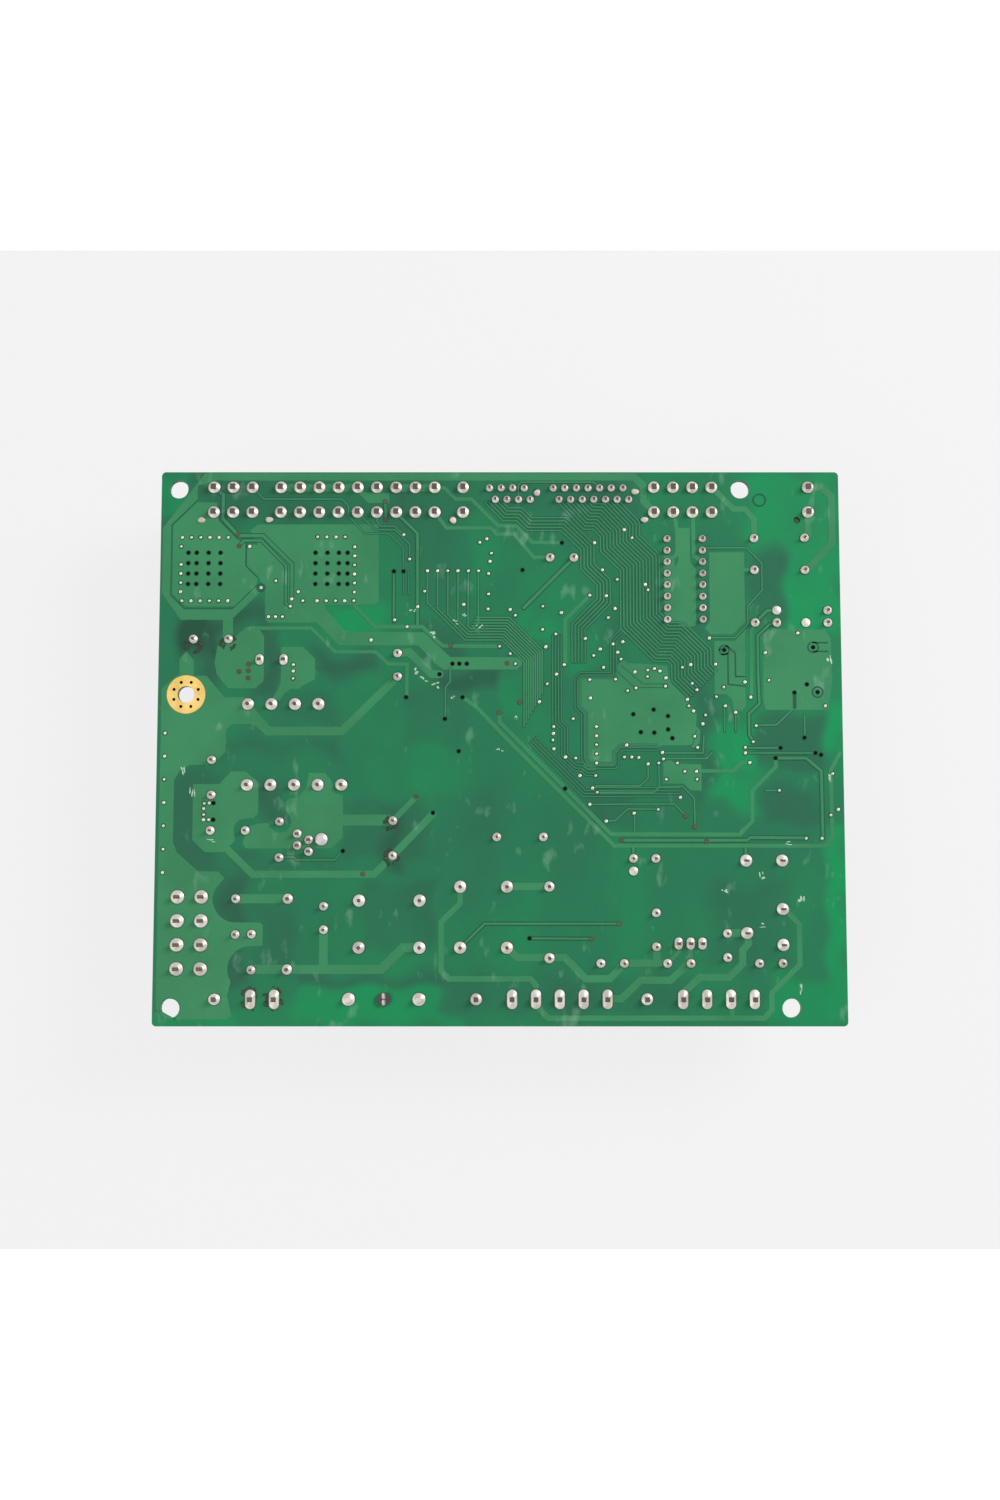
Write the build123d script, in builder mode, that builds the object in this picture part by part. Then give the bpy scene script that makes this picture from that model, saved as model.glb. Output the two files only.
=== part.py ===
"""A gas boiler's control board.

A green two-sided circuit board lies with its solder side up. Everything that it
carries hangs under it: plug headers along two edges, a mains filter, a switched
supply with its transformer, relays of the pump and fan, and a microcontroller.

Frame: X runs along the board's long edges, Y along its short ones, and +Z points
out of the solder side. The origin is under the board's middle, on the plane that
the tallest pieces stand on. All sizes are in millimetres.
"""
from build123d import *
import os

os.makedirs("parts", exist_ok=True)

# --- Driving dimensions -------------------------------------------------------------
board_length = 148.0
board_width = 120.0
board_thickness = 1.6
board_corner = 0.8
build_height = 20.0  # room under the board for its tallest pieces

lead_stick_out = 1.5  # lead ends beyond the solder side
solder_height = 0.9
solder_collar = 0.12  # solder left round a lead at the top of its joint
hole_clearance = 0.12  # gap round a lead in its hole, filled with solder

screw_hole_radius = 2.05
screw_hole_inset = 3.8
earth_hole_radius = 1.83
earth_land_radius = 4.17
land_thickness = 0.07

power_pitch = 4.2
power_row_gap = 5.5
power_cell = 3.5
power_wall = 0.8
power_header_height = 12.8
ribbon_pitch = 2.54
ribbon_row_gap = 2.54
wide_pitch = 5.08
wide_earth_gap = 7.65
grid_pitch = 5.08

# --- Planes and edges that the pieces are placed from ---------------------------------
component_face = build_height
solder_face = build_height + board_thickness
left = -board_length / 2
right = board_length / 2
top = board_width / 2
bottom = -board_width / 2


def export(builder, name):
    """Label a finished piece and write its file."""
    builder.part.label = name
    export_step(builder.part, f"parts/{name}.step")


def under(depth):
    """The plane that lies the given depth under the component side."""
    return Plane.XY.offset(component_face - depth)


# --- Leads: every lead that is soldered is written down here once -----------------------
# A style is the lead's section (width, depth, round or not) and its pad (width, depth).
LEADS = {
    "power_pin": (1.07, 1.07, False, 2.6, 2.6),
    "ribbon_contact": (0.5, 0.5, False, 1.6, 1.6),
    "header_pin": (1.0, 1.0, False, 2.2, 4.1),
    "header_earth": (1.0, 1.0, False, 2.5, 2.5),
    "tab_leg": (1.3, 0.8, False, 2.9, 2.9),
    "coil_pin": (0.8, 0.8, True, 2.6, 2.6),
    "fuse_leg": (1.2, 0.8, False, 2.8, 2.8),
    "relay_pin": (1.0, 0.5, False, 2.6, 2.6),
    "chip_leg": (0.5, 0.5, False, 1.6, 1.6),
    "power_leg": (0.8, 0.6, False, 1.9, 1.9),
    "rectifier_leg": (0.8, 0.6, False, 1.8, 2.4),
    "triac_leg": (0.8, 0.6, False, 1.8, 2.6),
    "thick_wire": (0.8, 0.8, True, 2.2, 2.2),
    "wire": (0.6, 0.6, True, 1.9, 1.9),
}
soldered = {style: [] for style in LEADS}


def hole_radius(style):
    width, depth, is_round, _, _ = LEADS[style]
    reach = width if is_round else (width**2 + depth**2) ** 0.5
    return reach / 2 + hole_clearance


def draw_lead(style, spare=0.0):
    """A lead's section in the open sketch."""
    width, depth, is_round, _, _ = LEADS[style]
    if is_round:
        Circle(width / 2 + spare)
    else:
        Rectangle(width + 2 * spare, depth + 2 * spare)


def make_leads(style, places, depth):
    """Straight leads from a depth under the board to their soldered ends."""
    with BuildPart() as rods:
        with BuildSketch(under(depth)):
            with Locations(*places):
                draw_lead(style)
        extrude(amount=depth + board_thickness + lead_stick_out)
    soldered[style] += places
    return rods.part


def row(first_x, y, step, count):
    """Places on a line along X."""
    return [(first_x + step * index, y) for index in range(count)]


# --- Dual-row power headers along the top edge ------------------------------------------
power_upper_row = top - 3.4
power_lower_row = power_upper_row - power_row_gap
power_columns = {"fan": 3, "sensor": 9, "thermostat": 1, "gas_valve": 4, "ignition": 1}
connector_gap = 6.2
display_gap = 5.8
expansion_gap = 6.3
gas_valve_gap = 6.75
display_columns = 4
expansion_columns = 7
ignition_inset = 6.7

power_first = {"fan": left + 11.5}
power_first["sensor"] = power_first["fan"] + (power_columns["fan"] - 1) * power_pitch + connector_gap
sensor_last = power_first["sensor"] + (power_columns["sensor"] - 1) * power_pitch
power_first["thermostat"] = sensor_last + connector_gap
display_first = power_first["thermostat"] + display_gap
expansion_first = display_first + (display_columns - 1) * ribbon_pitch + expansion_gap
expansion_last = expansion_first + (expansion_columns - 1) * ribbon_pitch
power_first["gas_valve"] = expansion_last + gas_valve_gap
power_first["ignition"] = right - ignition_inset

power_floor = 3.0
power_pin_short = 3.0  # pin ends inside the header's mouth
peg_radius = 0.7
peg_clearance = 0.08
power_peg_x = -2.45  # from the first column and the lower row
power_peg_y = -1.75
peg_lug = 2.0
latch_width = 3.0
latch_proud = 0.9
latch_height = 2.4
power_middle_row = (power_upper_row + power_lower_row) / 2
power_depth = power_row_gap + power_cell + 2 * power_wall
peg_places = []
power_pins = []

for name, columns in power_columns.items():
    first = power_first[name]
    places = row(first, power_upper_row, power_pitch, columns)
    places += row(first, power_lower_row, power_pitch, columns)
    middle = first + (columns - 1) * power_pitch / 2
    width = (columns - 1) * power_pitch + power_cell + 2 * power_wall
    peg = (first + power_peg_x, power_lower_row + power_peg_y)
    with BuildPart() as housing:
        with BuildSketch(under(0)):
            with Locations((middle, power_middle_row)):
                RectangleRounded(width, power_depth, 0.5)
        extrude(amount=-power_header_height)
        with BuildSketch(under(0)):
            with Locations(peg):
                Rectangle(peg_lug, peg_lug)
        extrude(amount=-power_floor)
        with BuildSketch(under(power_header_height - latch_height)):
            with Locations((middle, power_middle_row - power_depth / 2)):
                Rectangle(latch_width, 2 * latch_proud)
        extrude(amount=-latch_height)
        with BuildSketch(under(power_header_height)):
            with Locations(*places):
                RectangleRounded(power_cell, power_cell, 0.4)
        extrude(amount=power_header_height - power_floor, mode=Mode.SUBTRACT)
        with BuildSketch(under(power_floor)):
            with Locations(*places):
                draw_lead("power_pin")
        extrude(amount=power_floor, mode=Mode.SUBTRACT)
        if name != "ignition":
            with BuildSketch(under(0)):
                with Locations(peg):
                    Circle(peg_radius)
            extrude(amount=board_thickness)
    peg_places.append(peg)
    power_pins += places
    export(housing, f"{name}_header_housing")

with BuildPart() as power_header_pins:
    add(make_leads("power_pin", power_pins, power_header_height - power_pin_short))
export(power_header_pins, "power_header_pins")

# --- Ribbon sockets: two staggered rows of fine contacts --------------------------------
ribbon_upper_row = top - 3.55
ribbon_lower_row = ribbon_upper_row - ribbon_row_gap
ribbon_height = 5.8
ribbon_floor = 2.0
ribbon_side = 1.5
ribbon_end = 2.1
ribbon_slot = (0.8, 1.5)
ribbon_peg_y = 1.7  # above the lower row
ribbon_peg_x = 1.35  # beyond the last contact
ribbon_contacts = []

for name, first, columns in (
    ("display", display_first, display_columns),
    ("expansion", expansion_first, expansion_columns),
):
    places = row(first, ribbon_upper_row, ribbon_pitch, columns)
    places += row(first + ribbon_pitch / 2, ribbon_lower_row, ribbon_pitch, columns)
    start = first - ribbon_end
    peg = (first + (columns - 0.5) * ribbon_pitch + ribbon_peg_x, ribbon_lower_row + ribbon_peg_y)
    end = peg[0] + peg_radius + ribbon_side / 2
    with BuildPart() as housing:
        with BuildSketch(under(0)):
            with Locations(((start + end) / 2, (ribbon_upper_row + ribbon_lower_row) / 2)):
                RectangleRounded(end - start, ribbon_row_gap + 2 * ribbon_side, 0.5)
        extrude(amount=-ribbon_height)
        with BuildSketch(under(ribbon_height)):
            with Locations(*places):
                Rectangle(*ribbon_slot)
        extrude(amount=ribbon_height - ribbon_floor, mode=Mode.SUBTRACT)
        with BuildSketch(under(ribbon_floor)):
            with Locations(*places):
                draw_lead("ribbon_contact")
        extrude(amount=ribbon_floor, mode=Mode.SUBTRACT)
        with BuildSketch(under(0)):
            with Locations(peg):
                Circle(peg_radius)
        extrude(amount=board_thickness)
    peg_places.append(peg)
    ribbon_contacts += places
    export(housing, f"{name}_socket_housing")

with BuildPart() as ribbon_socket_contacts:
    add(make_leads("ribbon_contact", ribbon_contacts, ribbon_height - 1.0))
export(ribbon_socket_contacts, "ribbon_socket_contacts")

# --- Wide headers for mains wiring along the bottom edge ---------------------------------
wide_row = bottom + 5.7
wide_first = {"mains": left + 13.2, "output": -5.1, "controls": right - 42.7}
wide_poles = {"mains": 2, "output": 5, "controls": 4}
wide_height = 12.0
wide_floor = 3.0
wide_cell = (4.2, 7.2)
wide_end_wall = 1.0
wide_edge_gap = 0.2  # housing to the board's edge
wide_depth = 9.8
wide_cell_y = bottom + wide_edge_gap + wide_depth / 2
wide_earth_pins = []
wide_pins = []

for name, poles in wide_poles.items():
    first = wide_first[name]
    poles_at = row(first + wide_earth_gap, wide_row, wide_pitch, poles)
    start = first - wide_cell[0] / 2 - wide_end_wall
    end = poles_at[-1][0] + wide_cell[0] / 2 + wide_end_wall
    with BuildPart() as housing:
        with BuildSketch(under(0)):
            with Locations(((start + end) / 2, wide_cell_y)):
                RectangleRounded(end - start, wide_depth, 0.6)
        extrude(amount=-wide_height)
        with BuildSketch(under(wide_height)):
            with Locations(*[(x, wide_cell_y) for x, _ in [(first, wide_row)] + poles_at]):
                RectangleRounded(*wide_cell, 0.5)
        extrude(amount=wide_height - wide_floor, mode=Mode.SUBTRACT)
        with BuildSketch(under(wide_floor)):
            with Locations((first, wide_row), *poles_at):
                draw_lead("header_pin")
        extrude(amount=wide_floor, mode=Mode.SUBTRACT)
    wide_earth_pins.append((first, wide_row))
    wide_pins += poles_at
    export(housing, f"{name}_header_housing")

wide_pin_reach = wide_height - 3.0
earth_pin_rods = make_leads("header_earth", wide_earth_pins, wide_pin_reach)
pole_pin_rods = make_leads("header_pin", wide_pins, wide_pin_reach)
with BuildPart() as wide_header_pins:
    add(earth_pin_rods)
    add(pole_pin_rods)
export(wide_header_pins, "wide_header_pins")

# --- Earth blade tabs -----------------------------------------------------------------
tab_x = left + 7.55
tab_first_y = bottom + 12.1
tab_pitch = 5.1
tab_count = 4
tab_leg_gap = 5.1
blade_width = 6.3
blade_thickness = 0.8
blade_length = 8.0
tab_foot_height = 2.0
tab_foot_width = tab_leg_gap + LEADS["tab_leg"][0]
tab_rows = [tab_first_y + tab_pitch * index for index in range(tab_count)]
tab_legs = []
for y in tab_rows:
    tab_legs += row(tab_x - tab_leg_gap / 2, y, tab_leg_gap, 2)
tab_leg_rods = make_leads("tab_leg", tab_legs, 0)

with BuildPart() as earth_tabs:
    for y in tab_rows:
        with BuildSketch(Plane.XZ.offset(-y)):
            with Locations((tab_x, component_face - tab_foot_height / 2)):
                Rectangle(tab_foot_width, tab_foot_height)
            with Locations((tab_x, component_face - tab_foot_height - blade_length / 2)):
                Rectangle(blade_width, blade_length)
            blade_tip = component_face - tab_foot_height - blade_length
            chamfer(vertices().group_by(Axis.Y)[0], 1.2)
            with Locations((tab_x, blade_tip + blade_width / 2)):
                Circle(0.8, mode=Mode.SUBTRACT)
        extrude(amount=blade_thickness / 2, both=True)
    add(tab_leg_rods)
export(earth_tabs, "earth_tabs")

# --- Mains fuse in its open holder --------------------------------------------------------
fuse_x = left + 49.25
fuse_y = wide_row
fuse_leg_gap = 15.0
fuse_length = 20.0
fuse_radius = 2.6
fuse_glass_wall = 0.5
fuse_cap_length = 5.2
fuse_cap_wall = 0.25
fuse_drop = 8.2  # fuse axis under the board
fuse_base_size = (23.6, 9.4, 4.0)
clip_thickness = 0.5
clip_width = 3.6
fuse_peg_radius = 1.5
fuse_peg_slit = 0.8
fuse_base_bottom = fuse_base_size[2]
clip_centre = fuse_length / 2 - fuse_cap_length / 2

with BuildPart() as fuse_base:
    with BuildSketch(under(0)):
        with Locations((fuse_x, fuse_y)):
            RectangleRounded(fuse_base_size[0], fuse_base_size[1], 0.8)
    extrude(amount=-fuse_base_size[2])
    end_wall_x = fuse_base_size[0] / 2 - 0.7
    with BuildSketch(under(fuse_base_bottom)):
        with Locations((fuse_x - end_wall_x, fuse_y), (fuse_x + end_wall_x, fuse_y)):
            Rectangle(1.2, 6.0)
    extrude(amount=-(fuse_drop - fuse_base_bottom))
    with BuildSketch(under(fuse_base_bottom)):
        with Locations((fuse_x - fuse_leg_gap / 2, fuse_y), (fuse_x + fuse_leg_gap / 2, fuse_y)):
            draw_lead("fuse_leg")
    extrude(amount=fuse_base_bottom, mode=Mode.SUBTRACT)
    with BuildSketch(under(0)):
        with Locations((fuse_x, fuse_y)):
            Circle(fuse_peg_radius)
            Rectangle(fuse_peg_slit, 2 * fuse_peg_radius, mode=Mode.SUBTRACT)
    extrude(amount=board_thickness + 0.6)
export(fuse_base, "fuse_base")

clip_outer = fuse_radius + clip_thickness
clip_lip = 1.2  # arms that close past the fuse's middle
fuse_axis = component_face - fuse_drop
clip_legs = [(fuse_x - fuse_leg_gap / 2, fuse_y), (fuse_x + fuse_leg_gap / 2, fuse_y)]
fuse_leg_rods = make_leads("fuse_leg", clip_legs, fuse_base_bottom)
with BuildPart() as fuse_clips:
    for side in (-1, 1):
        with BuildSketch(Plane.YZ.offset(fuse_x + side * clip_centre)):
            with Locations((fuse_y, fuse_axis)):
                Circle(clip_outer)
            with Locations((fuse_y, (fuse_axis + component_face - fuse_base_bottom) / 2)):
                Rectangle(2.4, fuse_drop - fuse_base_bottom)
            with Locations((fuse_y, fuse_axis)):
                Circle(fuse_radius, mode=Mode.SUBTRACT)
            with Locations((fuse_y, fuse_axis - clip_lip - clip_outer)):
                Rectangle(2 * clip_outer, 2 * clip_outer, mode=Mode.SUBTRACT)
        extrude(amount=clip_width / 2, both=True)
    add(fuse_leg_rods)
export(fuse_clips, "fuse_clips")

glass_radius = fuse_radius - fuse_cap_wall
with BuildPart() as fuse_end_caps:
    for side in (-1, 1):
        cap_outside = fuse_x + side * fuse_length / 2
        with BuildSketch(Plane.YZ.offset(cap_outside)):
            with Locations((fuse_y, fuse_axis)):
                Circle(fuse_radius)
        extrude(amount=-side * fuse_cap_length)
        with BuildSketch(Plane.YZ.offset(cap_outside - side * fuse_cap_wall)):
            with Locations((fuse_y, fuse_axis)):
                Circle(glass_radius)
        extrude(amount=-side * fuse_cap_length, mode=Mode.SUBTRACT)
export(fuse_end_caps, "fuse_end_caps")

glass_half = fuse_length / 2 - fuse_cap_wall
with BuildPart() as fuse_glass:
    with BuildSketch(Plane.YZ.offset(fuse_x)):
        with Locations((fuse_y, fuse_axis)):
            Circle(glass_radius)
            Circle(glass_radius - fuse_glass_wall, mode=Mode.SUBTRACT)
    extrude(amount=glass_half, both=True)
export(fuse_glass, "fuse_glass")

with BuildPart() as fuse_wire:
    with BuildSketch(Plane.YZ.offset(fuse_x)):
        with Locations((fuse_y, fuse_axis)):
            Circle(0.15)
    extrude(amount=glass_half, both=True)
export(fuse_wire, "fuse_wire")

# --- Supply transformer: two E cores on a coil former that lies on its side ---------------
transformer_x = left + 29.67
transformer_y = 0.15
transformer_row_gap = 17.5
core_length = 25.0
core_span = 25.6
core_height = 7.2
core_leg = 3.0
core_centre_leg = 7.4
core_drop = 10.6  # core's middle plane under the board
former_wall = 0.8
former_gap = 0.1
winding_gap = 0.25
rail_height = 4.6
rail_width = 4.2
flange_thickness = 1.0
tape_thickness = 0.25
tape_height = 5.0
transformer_pin_depth = rail_height - 1.2

core_window = (core_length - core_centre_leg - 2 * core_leg) / 2
core_inner_span = core_span - 2 * core_leg
hub_length = core_inner_span - 2 * former_gap
hub_width = core_centre_leg + 2 * (former_gap + former_wall)
hub_height = core_height + 2 * (former_gap + former_wall)
coil_half = transformer_row_gap / 2 - rail_width / 2
winding_width = core_centre_leg + 2 * core_window - 2 * winding_gap
winding_height = hub_height + winding_width - hub_width
transformer_rows = (transformer_y + transformer_row_gap / 2, transformer_y - transformer_row_gap / 2)
transformer_axis = Plane.XZ.offset(-transformer_y)
core_middle = (transformer_x, component_face - core_drop)
transformer_pins_at = row(transformer_x - 2 * grid_pitch, transformer_rows[0], grid_pitch, 4)
transformer_pins_at += row(transformer_x - 2 * grid_pitch, transformer_rows[1], grid_pitch, 5)

with BuildPart() as transformer_core:
    with BuildSketch(under(core_drop)):
        with Locations((transformer_x, transformer_y)):
            Rectangle(core_length, core_span)
        window_x = (core_centre_leg + core_window) / 2
        with Locations((transformer_x - window_x, transformer_y), (transformer_x + window_x, transformer_y)):
            Rectangle(core_window, core_inner_span, mode=Mode.SUBTRACT)
    extrude(amount=core_height / 2, both=True)
export(transformer_core, "transformer_core")

with BuildPart() as transformer_tape:
    with BuildSketch(under(core_drop)):
        with Locations((transformer_x, transformer_y)):
            Rectangle(core_length + 2 * tape_thickness, core_span + 2 * tape_thickness)
            Rectangle(core_length, core_span, mode=Mode.SUBTRACT)
    extrude(amount=tape_height / 2, both=True)
export(transformer_tape, "transformer_tape")

with BuildPart() as transformer_bobbin:
    with BuildSketch(transformer_axis):
        with Locations(core_middle):
            Rectangle(hub_width, hub_height)
    extrude(amount=hub_length / 2, both=True)
    for side in (-1, 1):
        with BuildSketch(Plane.XZ.offset(-transformer_y - side * coil_half)):
            with Locations(core_middle):
                Rectangle(winding_width, winding_height)
        extrude(amount=-side * flange_thickness)
        with BuildSketch(under(0)):
            with Locations((transformer_x, transformer_y + side * transformer_row_gap / 2)):
                Rectangle(core_length, rail_width)
        extrude(amount=-rail_height)
    with BuildSketch(transformer_axis):
        with Locations(core_middle):
            Rectangle(core_centre_leg + 2 * former_gap, core_height + 2 * former_gap)
    extrude(amount=core_span / 2, both=True, mode=Mode.SUBTRACT)
    with BuildSketch(under(transformer_pin_depth)):
        with Locations(*transformer_pins_at):
            draw_lead("coil_pin")
    extrude(amount=transformer_pin_depth, mode=Mode.SUBTRACT)
export(transformer_bobbin, "transformer_bobbin")

with BuildPart() as transformer_winding:
    with BuildSketch(transformer_axis):
        with Locations(core_middle):
            RectangleRounded(winding_width, winding_height, 3.0)
            Rectangle(hub_width, hub_height, mode=Mode.SUBTRACT)
    extrude(amount=coil_half, both=True)
export(transformer_winding, "transformer_winding")

with BuildPart() as transformer_pins:
    add(make_leads("coil_pin", transformer_pins_at, transformer_pin_depth))
export(transformer_pins, "transformer_pins")

# --- Two mains chokes: a rectangular core loop through two windings ------------------------
# Each has its middle, and the turn of its long side from X.
chokes = {"input": (left + 50.32, bottom + 21.6, 0), "output": (-3.52, bottom + 23.07, 90)}
choke_pin_gap = (12.95, 10.0)
choke_base = (16.4, 13.6, 3.0)
choke_hub_drop = 9.2
choke_core_section = (4.6, 4.6)
choke_core_length = 20.4
choke_yoke_drop = 17.3
choke_hub_wall = 0.7
choke_hub_gap = 0.1
choke_flange = (14.6, 11.4)  # width and height
choke_flange_thickness = 0.9
choke_winding_thickness = 2.4
choke_hub_side = choke_core_section[0] + 2 * (choke_hub_wall + choke_hub_gap)
choke_window = choke_core_length - 2 * choke_core_section[0]
choke_bobbin_half = choke_window / 2 - choke_hub_gap
choke_winding_length = (2 * choke_bobbin_half - 3 * choke_flange_thickness) / 2
choke_winding_side = choke_hub_side + 2 * choke_winding_thickness
choke_flange_x = choke_bobbin_half - choke_flange_thickness / 2
choke_winding_x = (choke_winding_length + choke_flange_thickness) / 2
choke_pin_places = []
choke_core_pieces = []
choke_bobbin_pieces = []
choke_winding_pieces = []

for x, y, turn in chokes.values():
    deck = Plane(origin=(x, y, component_face), x_dir=Vector(1, 0, 0).rotate(Axis.Z, turn), z_dir=(0, 0, 1))
    side_view = Plane(origin=deck.origin, x_dir=deck.x_dir, z_dir=-deck.y_dir)
    end_view = Plane(origin=deck.origin, x_dir=deck.y_dir, z_dir=deck.x_dir)
    gap_x, gap_y = choke_pin_gap if turn == 0 else choke_pin_gap[::-1]
    pins = [(x + i * gap_x / 2, y + j * gap_y / 2) for i in (-1, 1) for j in (-1, 1)]
    choke_pin_places += pins

    with BuildPart() as core:
        with BuildSketch(side_view):
            with Locations((0, -(choke_hub_drop + choke_yoke_drop) / 2)):
                loop_height = choke_yoke_drop - choke_hub_drop
                Rectangle(choke_core_length, loop_height + choke_core_section[1])
                Rectangle(choke_window, loop_height - choke_core_section[1], mode=Mode.SUBTRACT)
        extrude(amount=choke_core_section[0] / 2, both=True)
    choke_core_pieces.append(core.part)

    with BuildPart() as bobbin:
        with BuildSketch(deck):
            Rectangle(choke_base[0], choke_base[1])
        extrude(amount=-choke_base[2])
        for place in (-choke_flange_x, 0, choke_flange_x):
            with BuildSketch(end_view.offset(place)):
                with Locations((0, -choke_hub_drop)):
                    Rectangle(*choke_flange)
                with Locations((0, -(choke_base[2] + choke_hub_drop) / 2)):
                    Rectangle(choke_flange[0] / 2, choke_hub_drop - choke_base[2])
            extrude(amount=choke_flange_thickness / 2, both=True)
        with BuildSketch(end_view):
            with Locations((0, -choke_hub_drop)):
                Rectangle(choke_hub_side, choke_hub_side)
        extrude(amount=choke_bobbin_half, both=True)
        with BuildSketch(end_view):
            with Locations((0, -choke_hub_drop)):
                bore = choke_core_section[0] + 2 * choke_hub_gap
                Rectangle(bore, bore)
        extrude(amount=choke_core_length / 2, both=True, mode=Mode.SUBTRACT)
        with BuildSketch(under(choke_base[2])):
            with Locations(*pins):
                draw_lead("coil_pin")
        extrude(amount=choke_base[2], mode=Mode.SUBTRACT)
    choke_bobbin_pieces.append(bobbin.part)

    with BuildPart() as windings:
        for side in (-1, 1):
            with BuildSketch(end_view.offset(side * choke_winding_x)):
                with Locations((0, -choke_hub_drop)):
                    RectangleRounded(choke_winding_side, choke_winding_side, 2.4)
                    Rectangle(choke_hub_side, choke_hub_side, mode=Mode.SUBTRACT)
            extrude(amount=choke_winding_length / 2, both=True)
    choke_winding_pieces.append(windings.part)

for name, pieces in (
    ("choke_cores", choke_core_pieces),
    ("choke_bobbins", choke_bobbin_pieces),
    ("choke_windings", choke_winding_pieces),
):
    with BuildPart() as both_chokes:
        add(pieces)
    export(both_chokes, name)

with BuildPart() as choke_pins:
    add(make_leads("coil_pin", choke_pin_places, choke_base[2]))
export(choke_pins, "choke_pins")

# --- Film capacitors: potted boxes on two leads --------------------------------------------
# Middle, lead gap, box length, thickness, height, and the turn of the leads' line from X.
box_capacitors = {
    "x": (
        (left + 28.6, bottom + 19.5, 15.0, 17.5, 8.4, 14.6, 90),
        (10.55, bottom + 22.0, 15.2, 17.6, 8.4, 14.6, 90),
    ),
    "film": (
        (right - 40.6, bottom + 20.4, 7.2, 10.0, 3.9, 9.0, 90),
        (right - 18.6, top - 18.2, 7.0, 10.0, 4.0, 9.0, 90),
        (right - 7.6, top - 18.15, 7.1, 10.0, 4.0, 9.0, 90),
        (right - 16.25, top - 33.3, 4.7, 7.2, 3.0, 6.8, 0),
        (right - 43.0, -24.4, 4.8, 7.2, 3.0, 6.8, 0),
    ),
}
box_style = {"x": "thick_wire", "film": "wire"}
lead_rods = []


def lead_pair(x, y, gap, turn):
    """The two places of a pair of leads about a middle, along X or turned to Y."""
    if turn == 0:
        return [(x - gap / 2, y), (x + gap / 2, y)]
    return [(x, y - gap / 2), (x, y + gap / 2)]


for name, boxes in box_capacitors.items():
    with BuildPart() as cases:
        for x, y, gap, length, thickness, height, turn in boxes:
            with BuildSketch(under(0)):
                with Locations(Location((x, y), turn)):
                    RectangleRounded(length, thickness, 0.5)
            extrude(amount=-height)
    export(cases, f"{name}_capacitor_cases")
    places = []
    for x, y, gap, length, thickness, height, turn in boxes:
        places += lead_pair(x, y, gap, turn)
    lead_rods.append(make_leads(box_style[name], places, 0))

# --- Electrolytic capacitors: aluminium cans in plastic sleeves -----------------------------
# Middle, lead gap, radius, height, and the turn of the leads' line from X.
can_capacitors = {
    "output_capacitor": (left + 11.3, top - 36.9, 7.6, 8.0, build_height, 0),
    "bulk_capacitor": (-23.0, -20.05, 7.5, 8.0, build_height, 90),
    "smoothing_capacitor": (13.5, top - 18.95, 5.2, 6.25, build_height, 0),
    "standby_capacitor": (-22.2, 17.45, 5.1, 5.0, 12.5, 90),
    "reset_capacitor": (right - 2.85, top - 31.95, 2.7, 2.5, 11.0, 90),
}
can_edge = 0.5
vent_depth = 0.3

for name, (x, y, gap, radius, height, turn) in can_capacitors.items():
    with BuildPart() as can:
        with BuildSketch(under(0)):
            with Locations((x, y)):
                Circle(radius)
        extrude(amount=-height)
        with Locations((x, y, component_face - 1.6)):
            Torus(radius + 0.45, 0.7, mode=Mode.SUBTRACT)
        fillet(can.edges().group_by(Axis.Z)[0], can_edge)
        with BuildSketch(under(height)):
            with Locations((x, y)):
                Rectangle(1.3 * radius, 0.4)
                Rectangle(0.4, 1.3 * radius)
        extrude(amount=vent_depth, mode=Mode.SUBTRACT)
    export(can, name)
    lead_rods.append(make_leads("wire", lead_pair(x, y, gap, turn), 0))

# --- Disc parts: Y capacitors and varistors stand on their leads -----------------------------
# Middle, lead gap, radius, thickness, and the turn of the leads' line from X.
disc_parts = {
    "y_capacitors": (
        (left + 11.87, -6.98, 7.55, 4.3, 3.6, 90),
        (left + 15.55, -18.4, 7.5, 4.3, 3.6, 0),
        (left + 17.47, bottom + 23.2, 7.6, 4.2, 3.1, 90),
        (left + 20.93, bottom + 15.7, 7.6, 4.2, 3.1, 90),
    ),
    "varistors": (
        (left + 36.3, bottom + 22.9, 5.0, 4.6, 3.4, 90),
        (24.0, bottom + 13.3, 5.0, 5.0, 3.4, 0),
        (right - 35.8, bottom + 13.3, 5.0, 4.6, 3.4, 0),
        (right - 25.45, bottom + 17.1, 5.1, 4.6, 3.4, 90),
        (right - 16.2, bottom + 13.3, 5.0, 4.4, 3.2, 0),
    ),
}
disc_stand = 1.6  # bare lead between disc and board

for name, discs in disc_parts.items():
    with BuildPart() as bodies:
        for x, y, gap, radius, thickness, turn in discs:
            face = Plane.XZ.offset(-y) if turn == 0 else Plane.YZ.offset(x)
            with BuildSketch(face):
                with Locations((x if turn == 0 else y, component_face - disc_stand - radius)):
                    Circle(radius)
                    with Locations((0, radius / 2)):
                        Rectangle(gap + 1.2, radius)
            extrude(amount=thickness / 2, both=True)
    export(bodies, name)
    places = []
    for x, y, gap, radius, thickness, turn in discs:
        places += lead_pair(x, y, gap, turn)
    lead_rods.append(make_leads("wire", places, disc_stand))

# --- Lying axial parts: a resistor and a clamp diode ------------------------------------------
# Middle, lead gap, radius, length, and the turn from X.
axial_parts = {
    "power_resistor": (4.3, -19.8, 10.0, 1.9, 7.0, 0),
    "clamp_diode": (left + 26.65, -20.35, 7.7, 1.35, 4.6, 90),
}
axial_lift = 0.4
bend_radius = 0.9

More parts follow.
